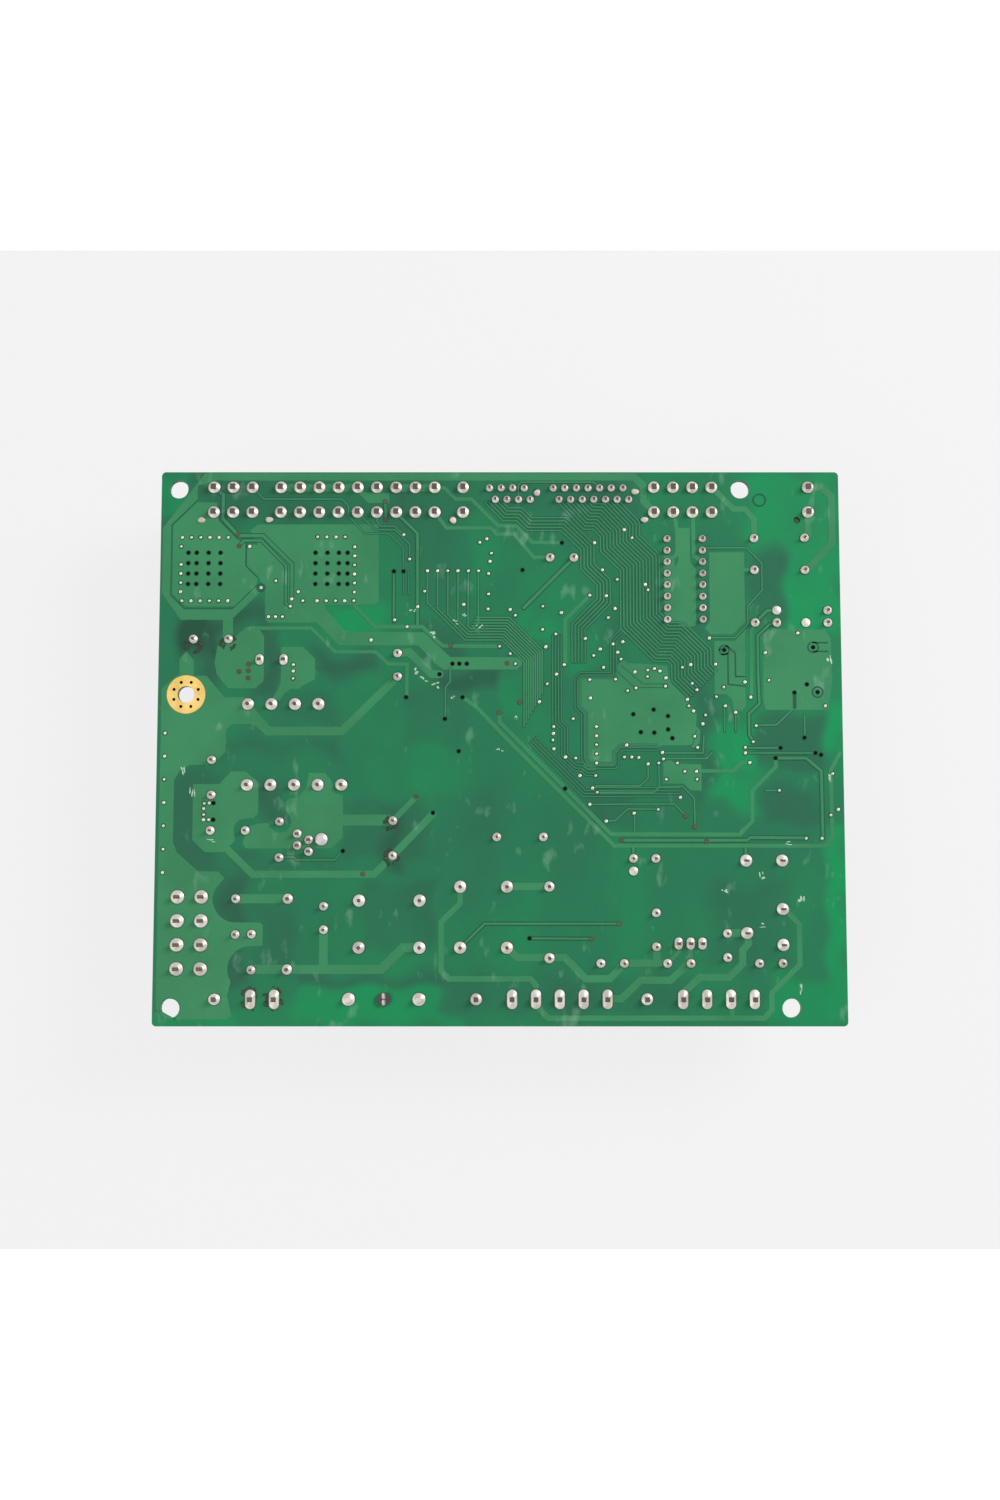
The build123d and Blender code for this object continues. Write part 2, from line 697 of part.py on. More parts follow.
for name, (x, y, gap, radius, length, turn) in axial_parts.items():
    along = Plane.YZ.offset(x) if turn == 0 else Plane.XZ.offset(-y)
    axis_z = component_face - axial_lift - radius
    with BuildPart() as body:
        with BuildSketch(along):
            with Locations((y if turn == 0 else x, axis_z)):
                Circle(radius)
        extrude(amount=length / 2, both=True)
        fillet(body.edges(), 0.4)
    export(body, name)
    stand_plane = Plane.XZ.offset(-y) if turn == 0 else Plane.YZ.offset(x)
    middle = x if turn == 0 else y
    lead_radius = LEADS["wire"][0] / 2
    with BuildPart() as bent_leads:
        for side in (-1, 1):
            start = (middle + side * length / 2, axis_z)
            corner = (middle + side * gap / 2, axis_z)
            foot = (middle + side * gap / 2, solder_face + lead_stick_out)
            with BuildLine(stand_plane) as path:
                FilletPolyline(start, corner, foot, radius=bend_radius)
            with BuildSketch(Plane(origin=path.line @ 0, z_dir=path.line % 0)):
                Circle(lead_radius)
            sweep(path=path.line)
    lead_rods.append(bent_leads.part)
    soldered["wire"] += lead_pair(x, y, gap, turn)

with BuildPart() as wire_leads:
    for rods in lead_rods:
        add(rods)
export(wire_leads, "wire_leads")

# --- Power packages: switch, rectifier and triac stand with their metal tabs ------------------
# Middle of the moulded body, the side its tab is on, and the turn of its width from X.
package_width = 10.0
package_height = 9.2
package_tab_height = 15.4
package_thickness = 3.2
tab_thickness = 1.3
package_stand = 3.4
package_hole = 1.8
switch_legs = [(-1.25, 1.9), (1.2, 0.6), (-1.25, -0.6), (1.2, -1.9)]
package_bodies = []
package_metals = []
packages = {
    "power_switch": (left + 31.75, -21.0, 1, 90, "power_leg", switch_legs),
    "rectifier": (left + 24.5, top - 41.4, 1, 0, "rectifier_leg", [(-2.6, 0), (2.6, 0)]),
    "triac": (right - 33.35, bottom + 17.5, 1, 0, "triac_leg", [(-2.54, 0), (0, 0), (2.54, 0)]),
}

for x, y, side, turn, style, legs in packages.values():
    back = y + side * package_thickness / 2 if turn == 0 else x + side * package_thickness / 2
    face = Plane.XZ.offset(-back) if turn == 0 else Plane.YZ.offset(back)
    outward = -side if turn == 0 else side
    across = x if turn == 0 else y
    low = component_face - package_stand
    leg_places = [(x + dx, y + dy) for dx, dy in legs]
    with BuildPart() as body:
        with BuildSketch(face):
            with Locations((across, low - package_height / 2)):
                Rectangle(package_width, package_height)
        extrude(amount=-outward * package_thickness)
        chamfer(body.faces().filter_by(Axis.Z).edges().filter_by(Axis.Z, reverse=True), 0.4)
    package_bodies.append(body.part)
    rods = make_leads(style, leg_places, package_stand)
    with BuildPart() as metal:
        with BuildSketch(face):
            with Locations((across, low - package_tab_height / 2)):
                Rectangle(package_width, package_tab_height)
            chamfer(vertices().group_by(Axis.Y)[0], 1.0)
            with Locations((across, low - package_tab_height + 2.8)):
                Circle(package_hole, mode=Mode.SUBTRACT)
        extrude(amount=outward * tab_thickness)
        add(rods)
    package_metals.append(metal.part)

with BuildPart() as power_package_bodies:
    add(package_bodies)
export(power_package_bodies, "power_package_bodies")

with BuildPart() as power_package_metal:
    add(package_metals)
export(power_package_metal, "power_package_metal")

# --- Heatsink of the switch: a finned plate pegged into the board ------------------------------
heatsink_x = left + 31.75 + package_thickness / 2 + tab_thickness
heatsink_plate = (2.0, 15.0, 18.4)
heatsink_fins = 5
heatsink_fin = (4.6, 1.0)
heatsink_peg_radius = 0.75
heatsink_lift = 0.6
heatsink_peg = (heatsink_x + heatsink_plate[0] / 2, -20.3)
LEADS["heatsink_peg"] = (2 * heatsink_peg_radius, 2 * heatsink_peg_radius, True, 2.7, 2.7)
soldered["heatsink_peg"] = []
peg_rod = make_leads("heatsink_peg", [heatsink_peg], heatsink_lift)

with BuildPart() as heatsink:
    with BuildSketch(under(heatsink_lift)):
        with Locations((heatsink_x + heatsink_plate[0] / 2, -21.0)):
            Rectangle(heatsink_plate[0], heatsink_plate[1])
        fin_step = (heatsink_plate[1] - heatsink_fin[1]) / (heatsink_fins - 1)
        with Locations((heatsink_x + heatsink_plate[0] + heatsink_fin[0] / 2, -21.0)):
            with GridLocations(0, fin_step, 1, heatsink_fins):
                Rectangle(*heatsink_fin)
    extrude(amount=-heatsink_plate[2])
    add(peg_rod)
export(heatsink, "heatsink")

# --- Relay of the pump ---------------------------------------------------------------------------
relay_x = right - 17.4
relay_y = bottom + 26.5
relay_size = (11.4, 21.4)
relay_pin_places = [
    (relay_x - 3.85, bottom + 35.15),
    (relay_x + 3.85, bottom + 35.15),
    (relay_x - 3.85, bottom + 19.7),
    (relay_x + 3.85, bottom + 24.8),
    (relay_x + 3.85, bottom + 17.2),
]
with BuildPart() as relay_case:
    with BuildSketch(under(0)):
        with Locations((relay_x, relay_y)):
            RectangleRounded(relay_size[0], relay_size[1], 0.8)
    extrude(amount=-build_height)
    fillet(relay_case.edges().group_by(Axis.Z)[0], 0.5)
export(relay_case, "relay_case")

with BuildPart() as relay_pins:
    add(make_leads("relay_pin", relay_pin_places, 0))
export(relay_pins, "relay_pins")

# --- Logic chip: a two-row package in plated holes --------------------------------------------------
chip_x = right - 33.75
chip_y = top - 23.7
chip_row_gap = 7.7
chip_pitch = 2.54
chip_side_pins = 8
chip_body = (6.4, 19.6, 3.4)
chip_lift = 0.8
chip_leg_thickness = 0.3
chip_rows = [chip_y + (index - (chip_side_pins - 1) / 2) * chip_pitch for index in range(chip_side_pins)]
chip_leg_places = [(chip_x + side * chip_row_gap / 2, y) for side in (-1, 1) for y in chip_rows]
chip_middle = component_face - chip_lift - chip_body[2] / 2

with BuildPart() as logic_chip:
    with BuildSketch(under(chip_lift)):
        with Locations((chip_x, chip_y)):
            Rectangle(chip_body[0], chip_body[1])
    extrude(amount=-chip_body[2])
    chamfer(logic_chip.edges().filter_by(Axis.Z, reverse=True), 0.35)
    with BuildSketch(under(chip_lift + chip_body[2])):
        with Locations((chip_x, chip_y + chip_body[1] / 2 - 0.9)):
            Circle(0.8)
    extrude(amount=0.4, mode=Mode.SUBTRACT)
export(logic_chip, "logic_chip")

chip_leg_depth = component_face - chip_middle + chip_leg_thickness / 2
chip_rods = make_leads("chip_leg", chip_leg_places, chip_leg_depth)
chip_arm = chip_row_gap / 2 - chip_body[0] / 2
with BuildPart() as logic_chip_legs:
    add(chip_rods)
    with BuildSketch(Plane.XY.offset(chip_middle - chip_leg_thickness / 2)):
        for side in (-1, 1):
            arm_x = chip_x + side * (chip_body[0] + chip_arm) / 2
            with Locations(*[(arm_x, y) for y in chip_rows]):
                Rectangle(chip_arm, 1.2)
    extrude(amount=chip_leg_thickness)
export(logic_chip_legs, "logic_chip_legs")

# --- Surface-mounted chips, soldered flat to the component side --------------------------------------
# Middle, body length along X, body width along Y, height, lead pitch, leads a side, and the sides
# that have leads ("xy" for all four, "x" for the two ends along X, "y" for the two along Y).
surface_chips = {
    "microcontroller": [(right - 41.3, 4.6, 14.0, 14.0, 1.4, 0.8, 16, "xy")],
    "power_chips": [
        (left + 9.2, top - 21.2, 11.0, 13.0, 3.2, 1.27, 9, "x"),
        (left + 37.4, top - 21.2, 11.0, 13.0, 3.2, 1.27, 9, "x"),
    ],
    "small_chips": [
        (-6.0, 24.0, 4.9, 3.9, 1.5, 1.27, 4, "y"),
        (3.5, 24.0, 4.9, 3.9, 1.5, 1.27, 4, "y"),
        (-9.0, 4.0, 4.9, 3.9, 1.5, 1.27, 4, "y"),
        (1.0, 4.0, 8.7, 3.9, 1.5, 1.27, 7, "y"),
        (14.0, -8.0, 8.7, 3.9, 1.5, 1.27, 7, "y"),
        (right - 23.0, 8.0, 8.7, 3.9, 1.5, 1.27, 7, "y"),
        (right - 10.0, 2.0, 4.9, 3.9, 1.5, 1.27, 4, "y"),
        (right - 23.0, -8.0, 4.9, 3.9, 1.5, 1.27, 4, "y"),
        (left + 62.0, top - 24.0, 4.9, 3.9, 1.5, 1.27, 4, "y"),
        (-4.0, -12.0, 4.9, 3.9, 1.5, 1.27, 4, "y"),
    ],
}
surface_gap = 0.1  # chip body to the board
foot_length = 0.9
foot_reach = 1.0  # lead beyond the body
foot_thickness = 0.2
surface_lead_boxes = []

for name, chips in surface_chips.items():
    with BuildPart() as bodies:
        for x, y, length, width, height, pitch, count, sides in chips:
            with BuildSketch(under(surface_gap)):
                with Locations((x, y)):
                    Rectangle(length, width)
            extrude(amount=-height)
        chamfer(bodies.faces().filter_by(Axis.Z).sort_by(Axis.Z)[: len(chips)].edges(), 0.25)
    export(bodies, name)

with BuildPart() as surface_chip_leads:
    for chips in surface_chips.values():
        for x, y, length, width, height, pitch, count, sides in chips:
            arm_height = height / 2
            for side in (-1, 1):
                for along_x in (True, False):
                    if ("x" if along_x else "y") not in sides:
                        continue
                    half = length / 2 if along_x else width / 2
                    for depth, reach, thick in (
                        (0, (half + foot_reach - foot_length, half + foot_reach), foot_thickness),
                        (0, (half + 0.1, half + 0.1 + foot_thickness), arm_height),
                        (arm_height - foot_thickness, (half, half + 0.2), foot_thickness),
                    ):
                        middle = side * (reach[0] + reach[1]) / 2
                        with BuildSketch(under(depth)):
                            if along_x:
                                with Locations((x + middle, y)):
                                    with GridLocations(0, pitch, 1, count):
                                        Rectangle(reach[1] - reach[0], pitch * 0.45)
                            else:
                                with Locations((x, y + middle)):
                                    with GridLocations(pitch, 0, count, 1):
                                        Rectangle(pitch * 0.45, reach[1] - reach[0])
                        extrude(amount=-thick)
export(surface_chip_leads, "surface_chip_leads")

# --- Chip resistors and capacitors in rows, and the clock crystal --------------------------------------
# First place, step, count, and length, width and height of the piece.
capacitor_rows = (
    ((power_first["sensor"] + 5 * power_pitch, top - 14.5), (power_pitch, 0), 4),
    ((expansion_first + 1.0, top - 11.5), (2.6, 0), 6),
    ((right - 50.5, -7.0), (3.4, 0), 4),
    ((left + 51.5, top - 30.5), (3.2, 0), 5),
)
resistor_rows = (
    ((power_first["sensor"] + 5 * power_pitch, top - 17.5), (power_pitch, 0), 4),
    ((expansion_first + 1.0, top - 26.5), (2.6, 0), 6),
    ((right - 50.5, -10.2), (3.4, 0), 4),
    ((-16.0, -6.0), (3.4, 0), 6),
    ((-14.0, 12.5), (3.4, 0), 7),
    ((right - 29.5, -15.0), (3.4, 0), 5),
    ((right - 12.0, 14.5), (0, 3.2), 3),
    ((11.0, -17.0), (3.4, 0), 3),
)
chip_passives = {
    "chip_capacitors": (capacitor_rows, (1.25, 2.0, 0.9)),
    "chip_resistors": (resistor_rows, (1.25, 2.0, 0.55)),
}
for name, (rows, size) in chip_passives.items():
    with BuildPart() as pieces:
        with BuildSketch(under(0)):
            for (x, y), (step_x, step_y), count in rows:
                with Locations(*[(x + step_x * i, y + step_y * i) for i in range(count)]):
                    Rectangle(size[0], size[1])
        extrude(amount=-size[2])
    export(pieces, name)

crystal_size = (11.0, 4.6, 3.6)
with BuildPart() as clock_crystal:
    with BuildSketch(under(0)):
        with Locations((15.5, 8.0)):
            SlotOverall(crystal_size[0], crystal_size[1])
    extrude(amount=-crystal_size[2])
    fillet(clock_crystal.edges().group_by(Axis.Z)[0], 0.4)
export(clock_crystal, "clock_crystal")

# --- Circuit board, drilled for every lead and peg --------------------------------------------------------
screw_holes = [
    (left + screw_hole_inset, top - screw_hole_inset),
    (right - 21.5, top - screw_hole_inset),
    (left + screw_hole_inset, bottom + screw_hole_inset),
    (right - 11.9, bottom + screw_hole_inset),
]
earth_hole = (left + 6.1, 11.0)
spare_pads = [(right - 13.9, top - 30.6), (right - 7.6, top - 33.3), (right - 45.4, -27.1)]
spare_pad_radius = 0.95

with BuildPart() as circuit_board:
    with BuildSketch(Plane.XY.offset(component_face)):
        RectangleRounded(board_length, board_width, board_corner)
        for style, places in soldered.items():
            with Locations(*places):
                Circle(hole_radius(style), mode=Mode.SUBTRACT)
        with Locations(*peg_places):
            Circle(peg_radius + peg_clearance, mode=Mode.SUBTRACT)
        with Locations((fuse_x, fuse_y)):
            Circle(fuse_peg_radius + peg_clearance, mode=Mode.SUBTRACT)
        with Locations(*screw_holes):
            Circle(screw_hole_radius, mode=Mode.SUBTRACT)
        with Locations(earth_hole):
            Circle(earth_hole_radius, mode=Mode.SUBTRACT)
    extrude(amount=board_thickness)
export(circuit_board, "circuit_board")

with BuildPart() as earth_land:
    with BuildSketch(Plane.XY.offset(solder_face)):
        with Locations(earth_hole):
            Circle(earth_land_radius)
            Circle(earth_hole_radius, mode=Mode.SUBTRACT)
    extrude(amount=land_thickness)
export(earth_land, "earth_land")

# --- Solder joints: a cone on the pad and the filled gap in the hole ---------------------------------------


def pad_outline(width, depth):
    """A pad's round or long outline in the open sketch."""
    if abs(width - depth) < 0.01:
        Circle(width / 2)
    else:
        SlotOverall(max(width, depth), min(width, depth), rotation=0 if width > depth else 90)


def solder_joint(style):
    """One joint about the Z axis, hollow where its lead goes through."""
    width, depth, _, pad_width, pad_depth = LEADS[style]
    collar = 2 * (hole_radius(style) + solder_collar)
    with BuildPart() as joint:
        with BuildSketch(Plane.XY.offset(solder_face)):
            pad_outline(pad_width, pad_depth)
        with BuildSketch(Plane.XY.offset(solder_face + solder_height)):
            pad_outline(collar, collar + pad_depth - pad_width)
        loft()
        with BuildSketch(Plane.XY.offset(component_face)):
            Circle(hole_radius(style))
        extrude(amount=board_thickness)
        with BuildSketch(Plane.XY.offset(component_face)):
            draw_lead(style)
        extrude(amount=board_thickness + solder_height, mode=Mode.SUBTRACT)
    return joint.part


solder_pieces = []
for style, places in soldered.items():
    joint = solder_joint(style)
    solder_pieces += [joint.moved(Location((x, y, 0))) for x, y in places]

with BuildPart() as spare_pad_solder:
    with BuildSketch(Plane.XY.offset(solder_face)):
        with Locations(*spare_pads):
            Circle(spare_pad_radius)
    extrude(amount=solder_height / 3)

with BuildPart() as solder_joints:
    add(solder_pieces)
    add(spare_pad_solder.part)
export(solder_joints, "solder_joints")
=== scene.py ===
"""The looks of a gas boiler's control board, seen from its solder side and from all round."""

import math
import random

import bmesh
import bpy
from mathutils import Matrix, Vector
from mathutils.geometry import tessellate_polygon


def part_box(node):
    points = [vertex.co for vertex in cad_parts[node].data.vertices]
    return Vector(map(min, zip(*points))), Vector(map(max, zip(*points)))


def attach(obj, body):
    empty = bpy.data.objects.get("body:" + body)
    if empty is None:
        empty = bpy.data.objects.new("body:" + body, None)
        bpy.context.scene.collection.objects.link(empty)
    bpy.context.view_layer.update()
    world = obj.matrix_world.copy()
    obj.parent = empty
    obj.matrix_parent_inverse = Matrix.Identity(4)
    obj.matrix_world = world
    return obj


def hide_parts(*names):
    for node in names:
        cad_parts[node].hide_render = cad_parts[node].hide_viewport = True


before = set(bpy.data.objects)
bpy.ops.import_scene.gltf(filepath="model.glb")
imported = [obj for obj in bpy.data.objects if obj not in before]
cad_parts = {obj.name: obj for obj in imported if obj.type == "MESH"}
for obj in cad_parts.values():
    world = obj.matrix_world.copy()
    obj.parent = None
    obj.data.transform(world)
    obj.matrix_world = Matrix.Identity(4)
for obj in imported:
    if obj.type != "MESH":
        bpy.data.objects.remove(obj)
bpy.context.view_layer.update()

# --- Circuit board -------------------------------------------------------------------------
# Woven glass and epoxy under a green resist film. The film is see-through, so bare laminate
# looks bright, and copper on the far face makes dark patches with soft edges.
# It is routed from a panel, with its screw holes drilled last.
mm = 0.001
board_low, board_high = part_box("circuit_board")
left, bottom, under_face = (value / mm for value in board_low)
right, top, solder_face = (value / mm for value in board_high)
screw_hole = 2.05
hole_inset = 3.8  # from the board's edges
earth_hole = (left + 6.1, 11.0)
noise_low, noise_high = 0.3, 0.7  # a noise value rarely leaves this range


def new_material(name):
    """A node material, with its node tree, shader and texture space."""
    material = bpy.data.materials.new(name)
    material.use_nodes = True
    tree = material.node_tree
    shader = tree.nodes["Principled BSDF"]
    space = tree.nodes.new("ShaderNodeTexCoord").outputs["Object"]
    return material, tree, shader, space


def noise(tree, space, scale, detail=3.0, stretch=None):
    """A noise value over the object, with its grain in lumps of 1/scale metres."""
    if stretch:
        mapping = tree.nodes.new("ShaderNodeMapping")
        mapping.inputs["Scale"].default_value = stretch
        tree.links.new(space, mapping.inputs["Vector"])
        space = mapping.outputs["Vector"]
    node = tree.nodes.new("ShaderNodeTexNoise")
    node.inputs["Scale"].default_value = scale
    node.inputs["Detail"].default_value = detail
    tree.links.new(space, node.inputs["Vector"])
    return node.outputs["Fac"]


def ramp(tree, value, stops):
    """A colour for each value, through the given (place, colour) stops."""
    node = tree.nodes.new("ShaderNodeValToRGB")
    elements = node.color_ramp.elements
    while len(elements) < len(stops):
        elements.new(0.5)
    for element, (place, colour) in zip(elements, stops):
        element.position = place
        element.color = (*colour, 1)
    tree.links.new(value, node.inputs["Fac"])
    return node.outputs["Color"]


def two_tone(tree, value, dark, light):
    """A colour between dark and light, over a noise value's range."""
    return ramp(tree, value, [(noise_low, dark), (noise_high, light)])


def spread(tree, value, start, end, low=0.0, high=1.0):
    """The value's range from start to end, made low to high."""
    node = tree.nodes.new("ShaderNodeMapRange")
    for name, number in (("From Min", start), ("From Max", end), ("To Min", low), ("To Max", high)):
        node.inputs[name].default_value = number
    tree.links.new(value, node.inputs["Value"])
    return node.outputs["Result"]


def span(tree, value, low, high):
    """A noise value's range spread over low to high."""
    return spread(tree, value, noise_low, noise_high, low, high)


def calculate(tree, operation, *values):
    """One step of arithmetic on sockets and plain numbers."""
    node = tree.nodes.new("ShaderNodeMath")
    node.operation = operation
    for entry, value in zip(node.inputs, values):
        if isinstance(value, float):
            entry.default_value = value
        else:
            tree.links.new(value, entry)
    return node.outputs["Value"]


def overlay(tree, share, under, colour):
    """The under colour, with another laid over it by the share."""
    node = tree.nodes.new("ShaderNodeMix")
    node.data_type = "RGBA"
    tree.links.new(share, node.inputs[0])
    tree.links.new(under, node.inputs[6])
    node.inputs[7].default_value = (*colour, 1)
    return node.outputs[2]


def rough_up(tree, shader, height, strength, distance):
    """Bump from a height value."""
    node = tree.nodes.new("ShaderNodeBump")
    node.inputs["Strength"].default_value = strength
    node.inputs["Distance"].default_value = distance
    tree.links.new(height, node.inputs["Height"])
    tree.links.new(node.outputs["Normal"], shader.inputs["Normal"])


def shade(colour, factor):
    """The colour, lighter or darker."""
    return tuple(min(1.0, part * factor) for part in colour)


def set_looks(tree, shader, colour, rough, metal):
    """Links a colour and a roughness to the shader, and says how much of a metal it is."""
    tree.links.new(colour, shader.inputs["Base Color"])
    tree.links.new(rough, shader.inputs["Roughness"])
    shader.inputs["Metallic"].default_value = metal


def finish(name, colour, rough, metal=0.0, grain=1200.0, mottle=0.1, bump=0.25, coat=0.0,
           stretch=None, specular=0.5):
    """A worn surface: colour and gloss vary in patches, and a fine grain stands on it."""
    material, tree, shader, space = new_material(name)
    patches = noise(tree, space, grain / 6, 4.0, stretch)
    fine = noise(tree, space, grain, 6.0, stretch)
    mottled = two_tone(tree, patches, shade(colour, 1 - mottle), shade(colour, 1 + mottle))
    set_looks(tree, shader, mottled, span(tree, fine, rough * 0.85, min(1.0, rough * 1.2)), metal)
    shader.inputs["Coat Weight"].default_value = coat
    shader.inputs["Specular IOR Level"].default_value = specular
    rough_up(tree, shader, fine, bump, 0.00015)
    return material


def dress(material, *nodes):
    """Gives CAD nodes this material."""
    for node in nodes:
        for material_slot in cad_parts[node].material_slots:
            material_slot.material = material


def make_piece(name, mesh_maker, material, replaced=(), smooth=False):
    """A new piece on the board's one body, from a bmesh in millimetres."""
    mesh = bpy.data.meshes.new(name)
    build = bmesh.new()
    mesh_maker(build)
    bmesh.ops.recalc_face_normals(build, faces=build.faces)
    bmesh.ops.scale(build, vec=(mm, mm, mm), verts=build.verts)
    build.to_mesh(mesh)
    build.free()
    for polygon in mesh.polygons:
        polygon.use_smooth = smooth
    piece = bpy.data.objects.new(name, mesh)
    bpy.context.scene.collection.objects.link(piece)
    mesh.materials.append(material)
    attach(piece, "root")
    if replaced:
        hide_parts(*replaced)


# Drilled holes: place and radius.
open_holes = [
    (left + hole_inset, top - hole_inset, screw_hole),
    (right - 21.5, top - hole_inset, screw_hole),
    (left + hole_inset, bottom + hole_inset, screw_hole),
    (right - 11.9, bottom + hole_inset, screw_hole),
    (*earth_hole, 1.83),
    (right - 9.15, top - 10.65, 0.78),
]
cell = 0.7
corner_cut = 0.25
hole_margin = 0.3  # the mesh's points this near to a hole move onto its edge
columns = round((right - left) / cell)
rows = round((top - bottom) / cell)
# Patches of the far face, seen through the laminate: box, tone from 0 dark to 1 bright.
far_side = [
    ((-74, 48, -12, 60), 0.36), ((-12, 50, 31, 60), 0.35), ((47, 44, 74, 60), 0.55),
    ((-60, 26, -51, 31), 0.1), ((-70, 19, -60, 27), 0.0), ((-66, 10, -60, 19), 0.2),
    ((-52, 10, -47, 26), 0.2), ((-50, 4, -36, 12), 0.42), ((-38, 24, -25, 31), 0.9),
    ((-46, 12, -37, 25), 0.6), ((-40, 15, -27, 20), 0.12), ((-60, -2, -34, 2), 0.38),
    ((-34, 0, -20, 14), 0.62), ((-21, -12, 9, 8), 0.62), ((-18, 18, -8, 26), 0.3),
    ((-14, 12, 0, 16), 0.15), ((0, 7, 5, 16), 0.8), ((3, 22, 13, 30), 0.8),
    ((6, 26, 14, 31), 0.5), ((14, 16, 23, 25), 0.75), ((38, 30, 45, 47), 0.55),
    ((43, -14, 46, 20), 0.35), ((46, -14, 55, 4), 1.0), ((54, 26, 62, 42), 0.3),
    ((62, 24, 74, 46), 0.95), ((70, -2, 74, 8), 0.95), ((55, -5, 70, 7), 0.25),
    ((-70, -22, -65, -6), 0.5), ((-52, -16, -46, -8), 0.2), ((-57, -27, -34, -23), 0.38),
    ((-33, -25, -16, -12), 0.36), ((-14, -30, -1, -10), 0.5), ((5, -30, 22, -12), 0.55),
    ((19, -18, 30, -9), 0.35), ((57, -17, 69, -9), 0.35), ((50, -8, 57, -4), 0.7),
    ((70, -60, 74, -18), 1.0), ((58, -60, 74, -50), 0.85), ((45, -48, 62, -30), 0.42),
    ((-60, -52, -54, -28), 0.25), ((-52, -48, -44, -34), 0.4), ((-44, -52, -12, -49), 0.22),
    ((-44, -60, -8, -52), 0.85), ((-74, -60, -56, -57), 0.9), ((-12, -57, 40, -49), 0.4),
    ((-12, -36, 5, -30), 0.5), ((12, -38, 30, -30), 0.55), ((-74, 51, -67, 60), 0.85),
    ((-30, -44, -14, -30), 0.35), ((-20, 0, -8, 12), 0.45), ((30, -18, 50, -12), 0.55),
    ((24, 24, 46, 31), 0.4), ((-72, -28, -60, -6), 0.4), ((54, 43, 74, 60), 0.9),
    ((-20, 30, -6, 50), 0.42), ((-4, 44, 20, 52), 0.5), ((-67.5, 21, -65.5, 26), -0.3),
    ((-24.5, -26, -21.5, -14), 0.1),
]
bare_tone = 0.58
patch_blur = 1.8
patch_cover = 0.85


def soft_step(value):
    """0 to 1 with no sudden start or end."""
    value = max(0.0, min(1.0, value))
    return value * value * (3 - 2 * value)


def far_tone(x, y):
    """How bright the bare laminate is at a place, from the far face's patches."""
    tone = bare_tone
    wavy_x = x + 0.9 * math.sin(y * 0.55 + 1.3) + 0.5 * math.sin(x * 0.9)
    wavy_y = y + 0.9 * math.sin(x * 0.5) + 0.4 * math.sin(y * 1.1)
    for (x0, y0, x1, y1), level in far_side:
        inside = min(wavy_x - x0, x1 - wavy_x, wavy_y - y0, y1 - wavy_y)
        weight = soft_step(inside / patch_blur / 2 + 0.5)
        tone += (level - tone) * weight * patch_cover
    return tone


def near_tone(x, y):
    """The same on the component side, where the large solder-side pours make the patches."""
    wave = math.sin(x * 0.21) * math.cos(y * 0.17) + math.sin((x + y) * 0.09)
    return 0.45 + 0.16 * wave


def board_mesh(build):
    tone_layer = build.verts.layers.float.new("tone")

    def place(column, line, z):
        x = left + (right - left) * column / columns
        y = bottom + (top - bottom) * line / rows
        for hole_x, hole_y, radius in open_holes:
            away = math.hypot(x - hole_x, y - hole_y)
            if 0.01 < away < radius + hole_margin:
                x = hole_x + (x - hole_x) * radius / away
                y = hole_y + (y - hole_y) * radius / away
        if column in (0, columns) and line in (0, rows):
            x += corner_cut if column == 0 else -corner_cut
            y += corner_cut if line == 0 else -corner_cut
        vert = build.verts.new((x, y, z))
        vert[tone_layer] = far_tone(x, y) if z == solder_face else near_tone(x, y)
        return vert

    layers = []
    for z in (under_face, solder_face):
        layers.append([[place(c, r, z) for r in range(rows + 1)] for c in range(columns + 1)])
    open_cells = set()
    for column in range(columns):
        for line in range(rows):
            spots = [
                (left + (right - left) * c / columns, bottom + (top - bottom) * r / rows)
                for c in (column, column + 1) for r in (line, line + 1)
            ]
            for hole_x, hole_y, radius in open_holes:
                if all(math.hypot(x - hole_x, y - hole_y) < radius + hole_margin for x, y in spots):
                    open_cells.add((column, line))
    for column in range(columns):
        for line in range(rows):
            if (column, line) in open_cells:
                continue
            corners = [(column, line), (column + 1, line), (column + 1, line + 1), (column, line + 1)]
            build.faces.new([layers[1][c][r] for c, r in corners])
            build.faces.new([layers[0][c][r] for c, r in reversed(corners)])
            beside = [(column, line - 1), (column + 1, line), (column, line + 1), (column - 1, line)]
            for index, (c, r) in enumerate(beside):
                if (c, r) in open_cells or not (0 <= c < columns and 0 <= r < rows):
                    first = corners[index]
                    second = corners[(index + 1) % 4]
                    build.faces.new([
                        layers[0][first[0]][first[1]], layers[0][second[0]][second[1]],
                        layers[1][second[0]][second[1]], layers[1][first[0]][first[1]],
                    ])
    loose = [vert for vert in build.verts if not vert.link_faces]
    bmesh.ops.delete(build, geom=loose, context="VERTS")


def film(tree, space, under, amount):
    """Thin pale streaks of dried flux over the colour under them."""
    patch = noise(tree, space, 95.0, 2.0)
    streak = noise(tree, space, 420.0, 5.0, (1.0, 0.45, 1.0))
    cover = spread(tree, calculate(tree, "MULTIPLY", patch, streak), 0.345, 0.44, high=amount)
    streaked = overlay(tree, cover, under, (0.22, 0.44, 0.30))
    tree.links.new(streaked, tree.nodes["Principled BSDF"].inputs["Base Color"])


def film_gloss(tree, shader, space, threads, smooth, dull):
    """The dull gloss of the film over the glass weave, with this many threads to the metre."""
    weave = noise(tree, space, threads, 3.0, (1.0, 3.0, 1.0))
    tree.links.new(span(tree, weave, smooth, dull), shader.inputs["Roughness"])
    rough_up(tree, shader, weave, 0.12, 0.00006)
    shader.inputs["Specular IOR Level"].default_value = 0.14


